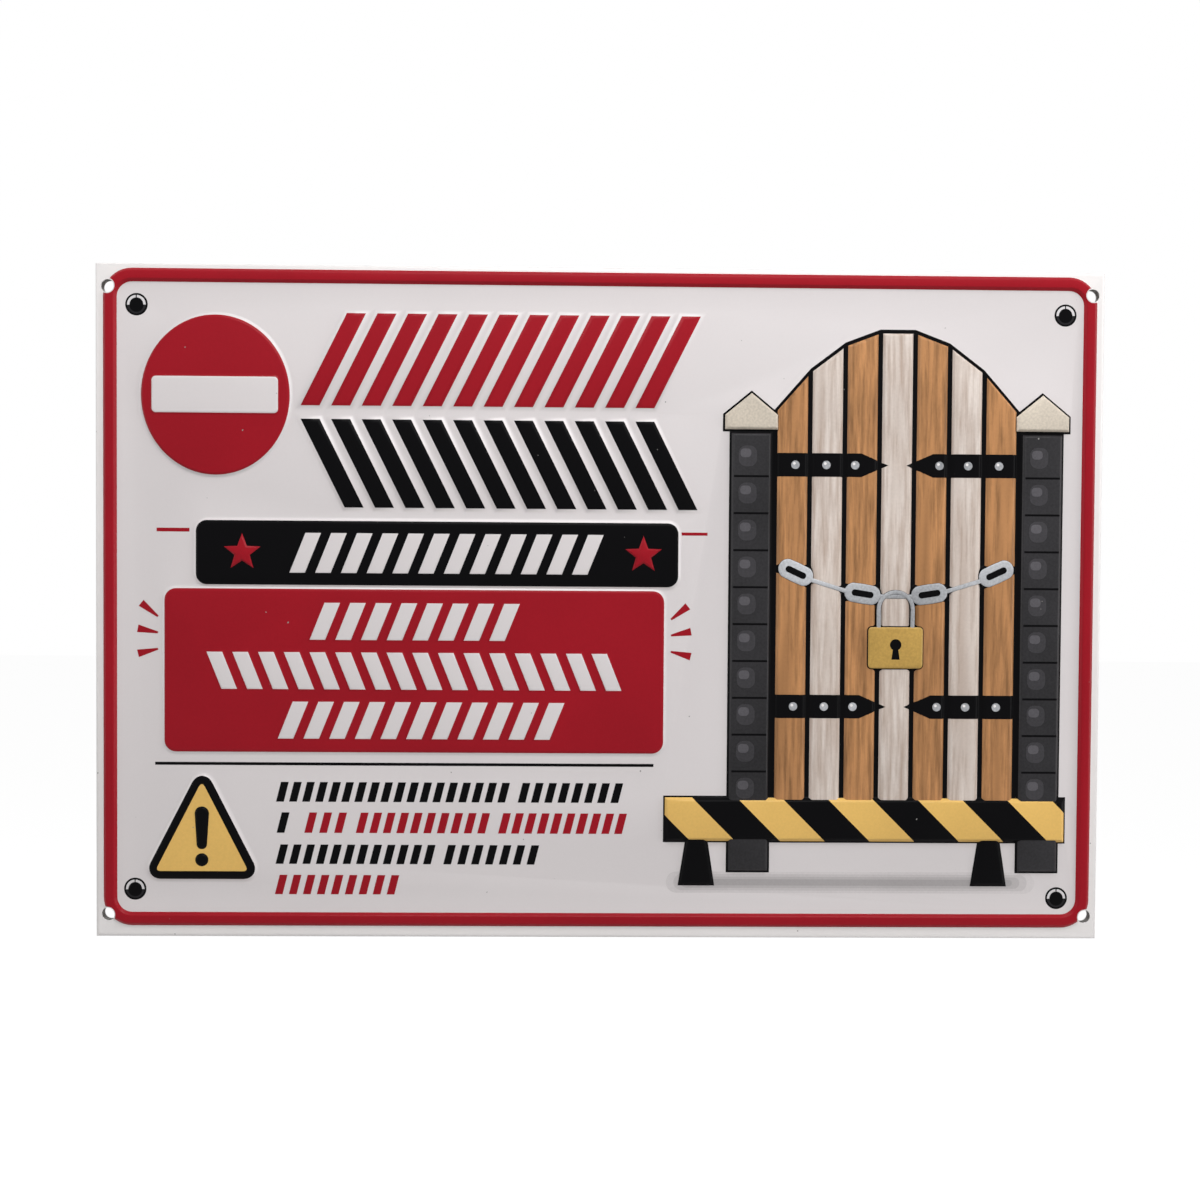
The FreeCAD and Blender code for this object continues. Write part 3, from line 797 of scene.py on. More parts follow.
def pressed_front(punch):
    """The whole front of the sheet as one surface: the field and every form welded on it."""
    scene = bpy.context.scene
    sheet, relief, picture = scene.sign_sheet, scene.sign_relief, scene.sign_picture
    thickness = mm(1)
    front = plate("pressed_sheet", 0, 0, sheet.width - sheet.hem, sheet.height - sheet.hem,
                  field_plane() + thickness / 2, thickness)
    give_materials(front, INKS)
    pick(front, "FACE", front_faces)
    flatten_selected(field_plane())
    finish_editing()

    disc, bar = no_entry_disc(relief)
    strip, strip_marks = starred_strip(relief)
    panel, panel_marks = marked_panel(relief)
    triangle = warning_triangle(relief)
    signal = warning_signal(relief)
    posts, caps = gate_posts(picture)
    open_links, edge_links = chain(picture)
    lock, shackle = padlock(picture)
    layers = [
        gate_shadow(picture),
        border_bead(relief) + disc + strip + triangle + posts + gate_planks(picture) + barrier_legs(picture),
        bar + strip_marks + chevron_rows(relief) + panel + signal + caps + open_links,
        panel_marks + edge_links + lock,
        shackle + barrier_board(picture),
    ]
    for layer in layers:
        tool = join(layer)
        boolean(front, tool, "UNION")
        remove(tool)

    boolean(front, punch, "DIFFERENCE")

    def behind_or_wall(middle, face):
        return middle.y > field_plane() + NOTHING or abs(face.normal.y) < 0.01

    pick(front, "FACE", behind_or_wall)
    bpy.ops.mesh.delete(type="FACE")
    bpy.ops.mesh.select_all(action="SELECT")
    bpy.ops.mesh.remove_doubles(threshold=NOTHING)
    paint_board(front, picture)
    ink_margin(front, sheet)
    finish_editing()
    return front


def paint_board(front, picture):
    """Cuts the barrier board's face along slanted lines and gives every other band to the black."""
    yellow = INKS.index("board_yellow")
    slant = Vector((1, 0, 1)).normalized()
    start = Vector((PICTURE_X, 0, GROUND + mm(16)))
    reach = int(picture.width / picture.board_stripe / 2) + 4
    for i in range(-reach, reach + 1):
        pick(front, "FACE", lambda middle, face: face.material_index == yellow)
        spot = start + Vector((i * picture.board_stripe * math.sqrt(2), 0, 0))
        bpy.ops.mesh.bisect(plane_co=spot, plane_no=slant)

    def dark_band(middle, face):
        along = (middle - start).dot(slant) / picture.board_stripe
        return face.material_index == yellow and math.floor(along) % 2 == 0

    pick(front, "FACE", dark_band)
    ink_selected(front, "board_black")
    bpy.ops.mesh.select_all(action="SELECT")
    bpy.ops.mesh.delete_loose(use_verts=True, use_edges=True, use_faces=False)


def ink_margin(front, sheet):
    """Outside the border the sheet gets a lighter white than the field inside it: painted light on the margin
    and the rolled hem.
    """
    edge_x, edge_z = (sheet.width - sheet.hem) / 2 - NOTHING, (sheet.height - sheet.hem) / 2 - NOTHING

    def at_the_fold(middle, face):
        return any(abs(vert.co.x) > edge_x or abs(vert.co.z) > edge_z for vert in face.verts)

    pick(front, "FACE", at_the_fold)
    bpy.ops.mesh.select_linked(delimit={"MATERIAL"})
    ink_selected(front, "painted_light_white")


def keep_lacquers(front):
    """Leaves the field's white and the lighter white of the margin and hem, painted light there, each with
    the coat of its back after it.
    """
    painted_light = INKS.index("painted_light_white")
    outside = [face.material_index == painted_light for face in front.data.polygons]
    give_materials(front, ["white_lacquer", "back_coat", "painted_light_white", "back_coat"])
    for face, is_outside in zip(front.data.polygons, outside):
        face.material_index = 2 if is_outside else 0


def roll_ring(before, after):
    """Extrudes the selected rim and moves it from one rectangle to the next."""
    bpy.ops.mesh.extrude_edges_move(TRANSFORM_OT_translate={"value": (0, after[2] - before[2], 0)})
    stretch_picked((after[0] / before[0], 1, after[1] / before[1]), (0, after[2], 0))


def fold_hem(piece, sheet):
    """Rolls the edge of the sheet back in a half circle and turns its flanges in behind."""
    radius = sheet.hem / 2
    half_x, half_z = sheet.width / 2 - radius, sheet.height / 2 - radius

    def outermost(middle, edge):
        return abs(middle.x) > half_x - NOTHING or abs(middle.z) > half_z - NOTHING

    pick(piece, "EDGE", outermost)
    before = (half_x, half_z, field_plane())
    for step in range(1, sheet.hem_steps + 1):
        angle = math.pi * step / sheet.hem_steps
        ring = (half_x + radius * math.sin(angle), half_z + radius * math.sin(angle),
                -radius - radius * math.cos(angle))
        roll_ring(before, ring)
        before = ring
    roll_ring(before, (sheet.width / 2 - sheet.side_flange, sheet.height / 2 - sheet.end_flange, 0.0))

    def mitre(middle, edge):
        a, b = edge.verts[0].co, edge.verts[1].co
        flat = abs(a.y) < NOTHING and abs(b.y) < NOTHING
        return flat and abs(a.x - b.x) > NOTHING and abs(a.z - b.z) > NOTHING

    pick(piece, "EDGE", mitre)
    bpy.ops.mesh.bevel(offset=sheet.slit / 2, segments=1, affect="EDGES")
    bpy.ops.mesh.delete(type="FACE")
    recalculate_normals()
    if not pick(piece, "FACE", large_fronts(mm(50))):
        bpy.ops.mesh.select_all(action="SELECT")
        bpy.ops.mesh.flip_normals()
    finish_editing()


def hole_punch(sheet, reach=mm(10), wider=0.0):
    """Four pins that cut the fixing holes, and reach so far to both sides of the wall's plane."""
    size = sheet.hole + 2 * wider
    return join([plate("pin", x, z, size, size, 0, 2 * reach, 48)
                 for x in (-sheet.hole_x, sheet.hole_x) for z in (-sheet.hole_z, sheet.hole_z)])


def split_inks(front, sheet):
    """Copies the faces that each ink covers, as a thin film on the sheet."""
    for ink, name in PRINTS.items():
        activate(front)
        bpy.ops.object.duplicate()
        film = bpy.context.object
        film.name = name
        wanted = INKS.index(ink)
        pick(film, "FACE", lambda middle, face: face.material_index != wanted)
        bpy.ops.mesh.delete(type="FACE")
        pick(film, "EDGE", on_rim)
        bpy.ops.mesh.mark_sharp()
        finish_editing()
        keep_one_ink(film, ink)
        apply_modifier(film, "SOLIDIFY", thickness=2 * FILM, offset=0, use_even_offset=False, use_rim=True)
        if ink == "border_red":
            trim = hole_punch(sheet, wider=sheet.hole_rim)
            boolean(film, trim, "DIFFERENCE")
            remove(trim)
        place_on_sign(film)


class SIGN_OT_pressed_sheet(bpy.types.Operator):
    """Presses the relief in the sheet, splits off its printed inks and folds the hem"""

    bl_idname = "sign.pressed_sheet"
    bl_label = "Pressed sheet"

    def execute(self, context):
        sheet = context.scene.sign_sheet
        punch = hole_punch(sheet)
        front = pressed_front(punch)
        remove(punch)
        mark_creases(front)
        split_inks(front, sheet)
        keep_lacquers(front)
        fold_hem(front, sheet)
        apply_modifier(front, "SOLIDIFY", thickness=sheet.thickness, offset=-1, use_even_offset=False,
                       use_rim=True, material_offset=1)
        punch = hole_punch(sheet, sheet.hem / 2)
        boolean(front, punch, "DIFFERENCE")
        remove(punch)
        mark_creases(front)
        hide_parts("sign_plate")
        place_on_sign(front)
        return {"FINISHED"}


# Flat print on the field and on the forms


def finish_print(pieces, name, ink):
    """Joins plates of one ink and sets them on the sign."""
    piece = join(pieces)
    piece.name = name
    piece.data.name = name
    keep_one_ink(piece, ink)
    activate(piece)
    bpy.ops.object.shade_smooth_by_angle(angle=math.radians(40))
    place_on_sign(piece)


def ray_tick(x, z, span, angle):
    """A short wedge, whose narrow end is at x and z."""
    narrow, wide = mm(0.55), mm(2.3)
    piece = flat_plate("tick", x + span / 2, z, span, narrow)
    pick(piece, "VERT", lambda place, vert: place.x > x + span / 2)
    stretch_picked((1, 1, wide / narrow), (0, 0, z))
    return turned(piece, x, z, angle)


def line_of_marks(left, right, top, bottom):
    """A line of small slanted marks, over the given millimetres."""
    width, spacing, lean = mm(2.3), mm(3.75), 0.25
    span, height = mm(right - left), mm(top - bottom)
    reach = width + lean * height
    count = how_many_fit(span, reach, spacing)
    if count > 1:
        spacing = (span - reach) / (count - 1)
    piece = flat_plate("line_mark", mm(left) + width / 2, mm(top + bottom) / 2, width, height)
    lean_top(piece, lean)
    return repeat(piece, count, spacing)


def crescent(x, z, start, sweep):
    """A curved stroke, swept from one short edge round the eyelet."""
    deselect_all()
    radius, width, thickness = mm(2.38), mm(0.72), mm(0.02)
    bpy.ops.mesh.primitive_plane_add(size=1, location=(x + radius, field_plane() - mm(0.055), z))
    piece = named_and_sized("crescent", (width, thickness, 1))
    edit_all(turned(piece, x, z, start))
    bpy.ops.mesh.spin(steps=14, angle=sweep, center=(x, 0, z), axis=(0, -1, 0))
    recalculate_normals()
    finish_editing()
    return piece


class SIGN_OT_flat_print(bpy.types.Operator):
    """Prints what isn't raised: dashes, rays, the rule, lines of small marks and eyelets"""

    bl_idname = "sign.flat_print"
    bl_label = "Flat print"

    def execute(self, context):
        red = [
            flat_plate("dash", mm(-126.9), mm(21.4), mm(9.7), mm(1.1)),
            flat_plate("dash", mm(27.2), mm(21.2), mm(8.8), mm(0.9)),
        ]
        right_rays, left_rays = mm(20.9), mm(-131.3)
        for z, reach, climb in ((-4.35, 5.0, 4.0), (-9.1, 6.0, 1.2), (-13.95, 5.95, -1.4)):
            span, angle = mm(math.hypot(reach, climb)), math.atan2(climb, reach)
            red.append(ray_tick(right_rays, mm(z), span, angle))
            red.append(ray_tick(left_rays, mm(z), span, math.pi - angle))
        black = [flat_plate("rule", mm(-58.1), mm(-48.0), mm(148.2), mm(0.87))]
        first, second, third, fourth = (-53.4, -59.3), (-62.5, -68.6), (-72.1, -77.9), (-81.2, -87.0)
        for line, left, right in ((second, -88.0, -75.3), (second, -72.7, -32.7), (second, -30.3, 8.2),
                                  (fourth, -96.7, -59.7)):
            red.append(line_of_marks(left, right, *line))
        for line, left, right in ((first, -96.4, -26.8), (first, -24.5, 7.0), (second, -96.2, -90.3),
                                  (third, -96.5, -48.9), (third, -46.6, -18.0)):
            black.append(line_of_marks(left, right, *line))
        finish_print(red, "red_flat_print", "row_red")
        finish_print(black, "black_flat_print", "row_black")
        self.print_eyelets()
        return {"FINISHED"}

    def print_eyelets(self):
        """A black ring, a grey dish with two pale crescents and a black middle, at each corner."""
        rings, dishes, shines, middles = [], [], [], []
        ring, dish, middle, sweep = mm(6.6), mm(5.5), mm(4.1), math.radians(89)
        for x, z in EYELETS:
            rings.append(spot("eyelet_ring", x, z, ring))
            dishes.append(spot("eyelet_dish", x, z, dish, film=mm(0.04)))
            for start in (184, 87):
                shines.append(crescent(x, z, math.radians(start), sweep))
            middles.append(spot("eyelet_middle", x, z - mm(0.2), middle, film=mm(0.07)))
        finish_print(rings, "eyelet_ring_print", "row_black")
        finish_print(dishes, "eyelet_dish_print", "eyelet_grey")
        finish_print(shines, "eyelet_shine_print", "eyelet_pale")
        finish_print(middles, "eyelet_middle_print", "row_black")


class SIGN_OT_picture_print(bpy.types.Operator):
    """Prints the gate's flat details: straps, studs, block joints, link eyes, keyhole and shadow"""

    bl_idname = "sign.picture_print"
    bl_label = "Picture print"

    def execute(self, context):
        picture = context.scene.sign_picture
        self.print_straps()
        self.print_blocks(picture)
        self.print_link_eyes(picture)
        self.print_keyhole(picture)
        self.print_ground(picture)
        return {"FINISHED"}

    def print_straps(self):
        straps, shines, studs = [], [], []
        span, inset, stud, shine = mm(33), mm(0.6), mm(2.5), mm(0.84)
        for side in (-1, 1):
            hung = PICTURE_X + side * (GATE_HALF_WIDTH - inset)
            for z in (GROUND + mm(122), GROUND + mm(50)):
                straps.append(self.strap(hung, z, side, span))
                for share in (0.16, 0.44, 0.70):
                    x = hung - side * span * share
                    studs.append(spot("stud", x, z, stud, PLANK_RISE, mm(0.16), 24))
                    shines.append(spot("stud_shine", x - mm(0.35), z + mm(0.4), shine, PLANK_RISE,
                                       mm(0.19), 16))
        finish_print(straps, "strap_print", "outline_black")
        finish_print(studs, "stud_print", "chain_steel")
        finish_print(shines, "stud_shine_print", "painted_light_white")

    def strap(self, hung, z, side, span):
        """A pointed strap: a flat grid cut to shape and laid on the relief from the front."""
        width, point, in_front = mm(7), mm(8), mm(-10)
        deselect_all()
        bpy.ops.mesh.primitive_grid_add(x_subdivisions=96, y_subdivisions=6, size=1,
                                        location=(hung - side * span / 2, in_front, z),
                                        rotation=(math.pi / 2, 0, 0))
        piece = named_and_sized("strap", (span, width, 1))
        for up in (-1, 1):
            edit_all(piece)
            across = Vector((-side * width / 2, 0, up * point)).normalized()
            bpy.ops.mesh.bisect(plane_co=(hung - side * span, 0, z), plane_no=across, clear_outer=True)
        apply_modifier(piece, "SHRINKWRAP", wrap_method="PROJECT", use_project_x=False, use_project_y=True,
                       use_project_z=False, use_positive_direction=True, use_negative_direction=False,
                       target=bpy.data.objects["pressed_sheet"], offset=FILM + mm(0.035))
        return piece

    def print_blocks(self, picture):
        """Joints between the blocks of the posts, and on each block a soft shine in two tints."""
        joints, glows, shines = [], [], []
        first, spacing, width = GROUND + mm(25), mm(11), picture.post_width - mm(3.4)
        count = int((GROUND + picture.post_height - first) / spacing) + 1
        for x in post_places(picture):
            for i in range(count):
                z = first + i * spacing
                if i > 0:
                    joints.append(flat_plate("joint", x, z - spacing / 2, width + mm(0.8), mm(0.6),
                                             POST_RISE, mm(0.045)))
                glows.append(rounded_plate("glow", x - mm(1.1), z + mm(0.5), width - mm(4.2), mm(6.2),
                                           mm(2.2), POST_RISE, mm(0.04)))
                shines.append(rounded_plate("shine", x - mm(1.7), z + mm(1.4), width - mm(6.4), mm(2.6),
                                            mm(1.1), POST_RISE, mm(0.055)))
        finish_print(joints, "joint_print", "outline_black")
        finish_print(glows, "post_glow_print", "post_glow")
        finish_print(shines, "post_shine_print", "post_shine")

    def print_link_eyes(self, picture):
        width, height, radius = mm(6.6), mm(1.9), mm(0.93)
        eyes = []
        for x, z, climb, open_link in chain_links(picture):
            if open_link:
                eye = rounded_plate("eye", x, z, width, height, radius, LINK_RISE, mm(0.045))
                eyes.append(turned(eye, x, z, climb))
        finish_print(eyes, "link_eye_print", "outline_black")

    def print_keyhole(self, picture):
        z = lock_top(picture) - mm(6.6)
        slot_z, spread = z - mm(2.4), 1.9
        hole = spot("keyhole", PICTURE_X, z, mm(3.4), LOCK_RISE, mm(0.05), 32)
        slot = flat_plate("keyhole_slot", PICTURE_X, slot_z, mm(1.3), mm(4), LOCK_RISE, mm(0.045))
        pick(slot, "VERT", lambda place, vert: place.z < slot_z)
        stretch_picked((spread, 1, 1), (PICTURE_X, 0, 0))
        finish_print([hole, slot], "keyhole_print", "outline_black")

    def print_ground(self, picture):
        """The shadow on the ground: bars of a darker and darker tint, one on the other. They end at the
        legs, which are hollow behind."""
        left = board_ends(picture)[0] + mm(1)
        right = PICTURE_X + picture.width / 2 - mm(9)
        z, height, radius = PICTURE_BOTTOM + mm(1), mm(6.4), mm(3.1)
        legs = join(barrier_legs(picture))
        for i, tint in enumerate(GROUND_TINTS):
            step, film = i * mm(0.75), mm(0.008) + i * mm(0.004)
            ground = rounded_plate("ground", (left + right) / 2, z, right - left - 6 * step,
                                   height - 2 * step, radius - step, film=film, steps=8)
            boolean(ground, legs, "DIFFERENCE")
            finish_print([ground], f"ground_print_{i + 1}", tint)
        remove(legs)


# Materials


def shader_node(tree, kind, **settings):
    node = tree.nodes.new(kind)
    for key, value in settings.items():
        setattr(node, key, value)
    return node


def feed(tree, socket, value):
    """Gives a socket a number, a colour or the output of another node."""
    if isinstance(value, bpy.types.NodeSocket):
        tree.links.new(value, socket)
    elif isinstance(value, (int, float)):
        socket.default_value = value
    else:
        socket.default_value = (*value[:3], 1)


def noise(tree, vector, scale, detail, roughness=0.5):
    node = shader_node(tree, "ShaderNodeTexNoise")
    for name, value in (("Scale", scale), ("Detail", detail), ("Roughness", roughness), ("Vector", vector)):
        feed(tree, node.inputs[name], value)
    return node.outputs["Fac"]


def ramp(tree, value, low, high, low_value=0.0, high_value=1.0):
    node = shader_node(tree, "ShaderNodeMapRange", clamp=True)
    for name, number in (("Value", value), ("From Min", low), ("From Max", high), ("To Min", low_value),
                         ("To Max", high_value)):
        feed(tree, node.inputs[name], number)
    return node.outputs["Result"]


def calculate(tree, operation, first, second):
    node = shader_node(tree, "ShaderNodeMath", operation=operation)
    feed(tree, node.inputs[0], first)
    feed(tree, node.inputs[1], second)
    return node.outputs[0]


def add(tree, first, second):
    return calculate(tree, "ADD", first, second)


def times(tree, first, second):
    return calculate(tree, "MULTIPLY", first, second)


def mix_colours(tree, share, first, second):
    """Mixes two colours. On this node their sockets come after those of numbers and vectors."""
    node = shader_node(tree, "ShaderNodeMix", data_type="RGBA")
    for place, value in ((0, share), (6, first), (7, second)):
        feed(tree, node.inputs[place], value)
    return node.outputs[2]


def stretched(tree, place, scale, rotation=(0, 0, 0)):
    node = shader_node(tree, "ShaderNodeMapping")
    node.inputs["Rotation"].default_value = rotation
    node.inputs["Scale"].default_value = scale
    tree.links.new(place, node.inputs["Vector"])
    return node.outputs["Vector"]


def new_group(name, inputs, outputs):
    """A node group, with its input and output sockets, and the place on the object that it reads."""
    group = bpy.data.node_groups.new(name, "ShaderNodeTree")
    for label, default in inputs.items():
        kind = "NodeSocketFloat" if isinstance(default, float) else "NodeSocketColor"
        socket = group.interface.new_socket(name=label, in_out="INPUT", socket_type=kind)
        socket.default_value = default
    for label, kind in outputs.items():
        group.interface.new_socket(name=label, in_out="OUTPUT", socket_type=kind)
    enter = shader_node(group, "NodeGroupInput")
    leave = shader_node(group, "NodeGroupOutput")
    place = shader_node(group, "ShaderNodeTexCoord").outputs["Object"]
    return group, enter.outputs, leave.inputs, place


def build_lacquer_group():
    """Clear lacquer over pressed tin: slow waves of the sheet, orange peel, scratches and dust."""
    group, given, results, place = new_group(
        "Lacquer Surface", {"Waves": 1.0, "Peel": 1.0, "Scratches": 1.0, "Base Roughness": 0.25},
        {"Height": "NodeSocketFloat", "Roughness": "NodeSocketFloat", "Dust": "NodeSocketFloat"})
    waves = noise(group, place, 14.0, 1.0)
    peel = noise(group, place, 900.0, 2.0)
    hairs = noise(group, stretched(group, place, (1.0, 1.0, 26.0), (0, 0.6, 0)), 34.0, 2.0, 0.7)
    patches = noise(group, place, 22.0, 2.0)
    specks = noise(group, place, 620.0, 1.0)
    worn = times(group, ramp(group, hairs, 0.68, 0.74), ramp(group, patches, 0.5, 0.68))
    scratches = times(group, worn, given["Scratches"])
    broad = times(group, waves, given["Waves"])
    fine = times(group, times(group, peel, 0.004), given["Peel"])
    relief = add(group, broad, fine)
    height = calculate(group, "SUBTRACT", relief, times(group, scratches, 0.01))
    rough = add(group, add(group, given["Base Roughness"], times(group, patches, 0.10)),
                times(group, scratches, 0.25))
    dust = times(group, ramp(group, specks, 0.82, 0.84), given["Scratches"])
    for name, value in (("Height", height), ("Roughness", rough), ("Dust", dust)):
        group.links.new(value, results[name])


def build_mottle_group():
    """Uneven density of a printed ink, in two sizes."""
    group, given, results, place = new_group(
        "Ink Density", {"Colour": (1, 1, 1, 1), "Amount": 0.2}, {"Colour": "NodeSocketColor"})
    broad = ramp(group, noise(group, place, 26.0, 3.0), 0.3, 0.7, -0.6, 0.6)
    fine = ramp(group, noise(group, place, 1500.0, 1.0), 0.3, 0.7, -0.25, 0.25)
    factor = add(group, times(group, add(group, broad, fine), given["Amount"]), 1.0)
    scaled = shader_node(group, "ShaderNodeVectorMath", operation="SCALE")
    group.links.new(given["Colour"], scaled.inputs[0])
    group.links.new(factor, scaled.inputs["Scale"])
    group.links.new(scaled.outputs[0], results["Colour"])


def build_grain_group():
    """Printed wood: streaks along Z between a light and a dark tone."""
    group, given, results, place = new_group(
        "Printed Grain", {"Light": (1, 1, 1, 1), "Dark": (0, 0, 0, 1)}, {"Colour": "NodeSocketColor"})
    along = stretched(group, place, (1.0, 1.0, 0.07))
    streaks = ramp(group, noise(group, along, 760.0, 4.0, 0.62), 0.35, 0.68)
    broad = ramp(group, noise(group, along, 190.0, 2.0), 0.45, 0.75, 0.0, 0.8)
    amount = calculate(group, "MAXIMUM", streaks, broad)
    group.links.new(mix_colours(group, amount, given["Light"], given["Dark"]), results["Colour"])


def group_node(tree, name, **values):
    node = shader_node(tree, "ShaderNodeGroup", node_tree=bpy.data.node_groups[name])
    for key, value in values.items():
        feed(tree, node.inputs[key.replace("_", " ")], value)
    return node.outputs


def lacquered(name, ink, base_roughness=0.36, scratches=1.0, mottle=0.1, grain=None, gloss=0.12):
    """A printed ink under clear lacquer. Grain gives a second tone for printed wood."""
    material = bpy.data.materials.new(name)
    material.use_nodes = True
    tree = material.node_tree
    shader = tree.nodes["Principled BSDF"]
    shader.inputs["Coat Weight"].default_value = gloss
    shader.inputs["Coat Roughness"].default_value = 0.14
    shader.inputs["Specular IOR Level"].default_value = gloss
    surface = group_node(tree, "Lacquer Surface", Scratches=scratches, Base_Roughness=base_roughness)
    if grain is not None:
        ink = group_node(tree, "Printed Grain", Light=ink, Dark=grain)["Colour"]
    ink = group_node(tree, "Ink Density", Colour=ink, Amount=mottle)["Colour"]
    dust_grey = (0.3, 0.29, 0.28)
    tree.links.new(mix_colours(tree, surface["Dust"], ink, dust_grey), shader.inputs["Base Color"])
    tree.links.new(surface["Roughness"], shader.inputs["Roughness"])
    bump = shader_node(tree, "ShaderNodeBump")
    bump.inputs["Strength"].default_value = 0.5
    bump.inputs["Distance"].default_value = mm(0.25)
    tree.links.new(surface["Height"], bump.inputs["Height"])
    tree.links.new(bump.outputs["Normal"], shader.inputs["Normal"])


def shaded(ink, share):
    return [share * part for part in ink]


class SIGN_OT_materials(bpy.types.Operator):
    """Mixes the lacquer, the printing inks and the coat of the back"""

    bl_idname = "sign.materials"
    bl_label = "Materials"

    def execute(self, context):
        colours = context.scene.sign_colours
        build_lacquer_group()
        build_mottle_group()
        build_grain_group()
        lacquered("white_lacquer", colours.lacquer, mottle=0.02, gloss=0.3)
        # The margin and hem get a lighter white than the field: painted light on the rolled edge
        lacquered("painted_light_white", colours.painted_light, mottle=0.02, gloss=0.3)
        for name in ("border_red", "disc_red", "row_red", "star_red", "panel_red"):
            lacquered(name, colours.red, gloss=0.08)
        for name in ("row_black", "strip_black", "warning_black", "outline_black", "board_black"):
            lacquered(name, colours.black, gloss=0.03)
        lacquered("warning_yellow", colours.yellow)
        lacquered("board_yellow", colours.yellow)
        lacquered("cap_stone", colours.stone, mottle=0.35)
        lacquered("post_charcoal", colours.charcoal, mottle=0.6)
        lacquered("post_glow", shaded(colours.charcoal, 2.0), mottle=0.4)
        lacquered("post_shine", shaded(colours.charcoal, 4.5), mottle=0.3)
        lacquered("plank_tan", colours.tan, grain=shaded(colours.tan, 0.45))
        grey_grain = [0.5 * pale + 0.2 * dark for pale, dark in zip(colours.cream, colours.tan)]
        lacquered("plank_pale", colours.cream, grain=grey_grain)
        lacquered("chain_steel", colours.steel, mottle=0.5)
        lacquered("lock_brass", colours.brass, mottle=0.3)
        lacquered("eyelet_grey", (0.018, 0.017, 0.019), gloss=0.05)
        lacquered("eyelet_pale", (0.66, 0.64, 0.65))
        for i, tint in enumerate(GROUND_TINTS):
            lacquered(tint, shaded(colours.lacquer, 0.9 - 0.12 * i), gloss=0.3)
        lacquered("back_coat", colours.back, base_roughness=0.45, scratches=1.6, mottle=0.15, gloss=0.1)
        return {"FINISHED"}


# Stage


def soft_box(name, place, size, power):
    """A rectangular lamp that looks at the middle of the sign."""
    deselect_all()
    bpy.ops.object.light_add(type="AREA", location=place)
    lamp = bpy.context.object
    lamp.name = name
    lamp.data.shape = "RECTANGLE"
    lamp.data.size, lamp.data.size_y = size
    lamp.data.energy = power
    lamp.rotation_euler = (-Vector(place)).to_track_quat("-Z", "Y").to_euler()


def seen_by_camera(tree):
    """One where the camera, a reflection or a clear view looks, and nothing where light falls."""
    path = shader_node(tree, "ShaderNodeLightPath").outputs
    seen = calculate(tree, "MAXIMUM", path["Is Camera Ray"], path["Is Glossy Ray"])
    return calculate(tree, "MAXIMUM", seen, path["Is Transmission Ray"])


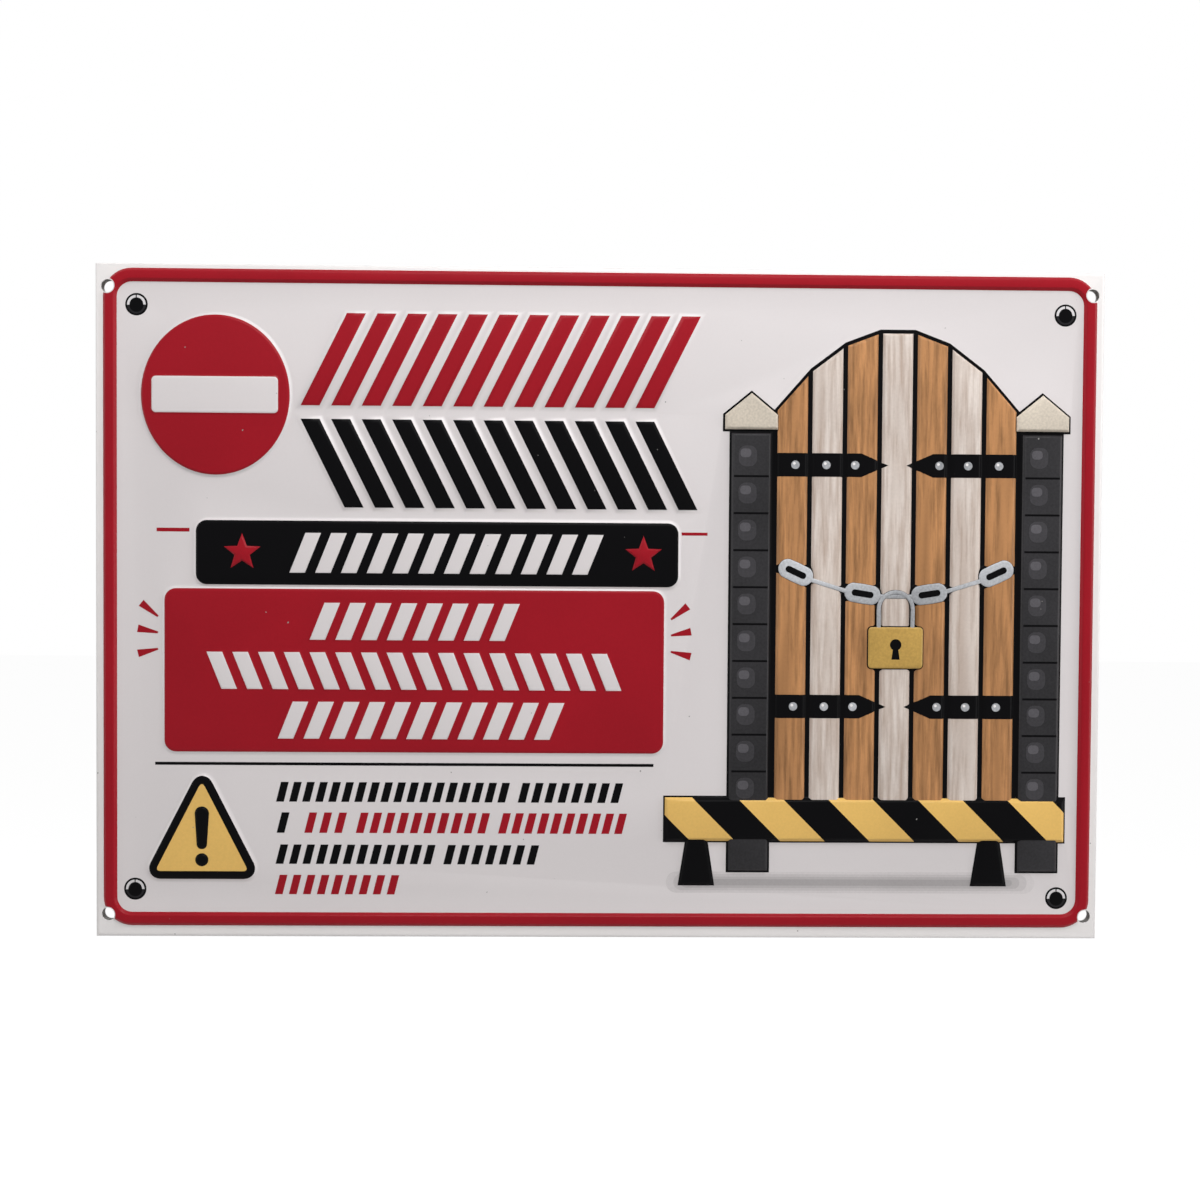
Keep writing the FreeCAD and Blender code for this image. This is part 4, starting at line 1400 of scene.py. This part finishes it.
class SIGN_OT_studio(bpy.types.Operator):
    """Sets the pale floor, the soft lights and the camera in front of the sign"""

    bl_idname = "sign.studio"
    bl_label = "Studio"

    def execute(self, context):
        self.make_floor()
        self.make_world(context.scene)
        soft_box("key_light", (0.05, -0.36, 0.46), (0.5, 0.3), 2.75)
        soft_box("right_light", (0.80, -0.30, 0.12), (0.35, 0.6), 2.7)
        soft_box("left_light", (-0.90, -0.25, 0.10), (0.3, 0.5), 1.2)
        self.make_camera(context.scene)
        context.scene.view_settings.view_transform = "Standard"
        return {"FINISHED"}

    def make_floor(self):
        side, level = 12, -0.42
        deselect_all()
        bpy.ops.mesh.primitive_plane_add(size=side, location=(0, 0, level))
        floor = bpy.context.object
        floor.name = "floor"
        material = bpy.data.materials.new("floor_white")
        material.use_nodes = True
        tree = material.node_tree
        shader = tree.nodes["Principled BSDF"]
        shader.inputs["Base Color"].default_value = (0.82, 0.82, 0.82, 1)
        shader.inputs["Roughness"].default_value = 0.8
        shader.inputs["Specular IOR Level"].default_value = 0
        shader.inputs["Emission Color"].default_value = (1, 1, 1, 1)
        tree.links.new(times(tree, seen_by_camera(tree), 0.75), shader.inputs["Emission Strength"])
        floor.data.materials.append(material)

    def make_world(self, scene):
        scene.world = bpy.data.worlds.new("studio")
        scene.world.use_nodes = True
        tree = scene.world.node_tree
        back = tree.nodes["Background"]
        back.inputs["Color"].default_value = (1, 1, 1, 1)
        strength = shader_node(tree, "ShaderNodeMix", data_type="FLOAT")
        light_on_sign, light_seen = 0.28, 1.0
        tree.links.new(seen_by_camera(tree), strength.inputs[0])
        strength.inputs[2].default_value = light_on_sign
        strength.inputs[3].default_value = light_seen
        tree.links.new(strength.outputs[0], back.inputs["Strength"])

    def make_camera(self, scene):
        place = (mm(-6.3), mm(-387.3), mm(9.76))
        aim = [math.radians(angle) for angle in (88.751, -0.397, -0.882)]
        deselect_all()
        bpy.ops.object.camera_add(location=place, rotation=aim)
        camera = bpy.context.object
        camera.name = "camera"
        camera.data.sensor_width = 36
        camera.data.lens = 38.73
        camera.data.clip_start = 0.01
        scene.camera = camera


class SIGN_PT_panel(bpy.types.Panel):
    """Lists the sizes and colours of the sign, and the steps in which it is built"""

    bl_label = "Embossed sign"
    bl_idname = "SIGN_PT_panel"
    bl_space_type = "VIEW_3D"
    bl_region_type = "UI"
    bl_category = "Sign"

    def draw(self, context):
        for name in GROUPS:
            box = self.layout.box()
            group = getattr(context.scene, name)
            for key in group.__annotations__:
                box.prop(group, key)
        for step in STEPS:
            self.layout.operator(step.bl_idname)


STEPS = [SIGN_OT_materials, SIGN_OT_pressed_sheet, SIGN_OT_flat_print, SIGN_OT_picture_print, SIGN_OT_studio]
GROUPS = {"sign_sheet": SheetSizes, "sign_relief": ReliefSizes, "sign_picture": PictureSizes,
          "sign_colours": PrintColours}


def register():
    for item in [*GROUPS.values(), *STEPS, SIGN_PT_panel]:
        bpy.utils.register_class(item)
    for name, group in GROUPS.items():
        setattr(bpy.types.Scene, name, PointerProperty(type=group))


def unregister():
    for name in GROUPS:
        delattr(bpy.types.Scene, name)
    for item in reversed([*GROUPS.values(), *STEPS, SIGN_PT_panel]):
        bpy.utils.unregister_class(item)


def main():
    register()
    bpy.ops.sign.materials()
    bpy.ops.sign.pressed_sheet()
    bpy.ops.sign.flat_print()
    bpy.ops.sign.picture_print()
    bpy.ops.sign.studio()


if __name__ == "__main__":
    main()
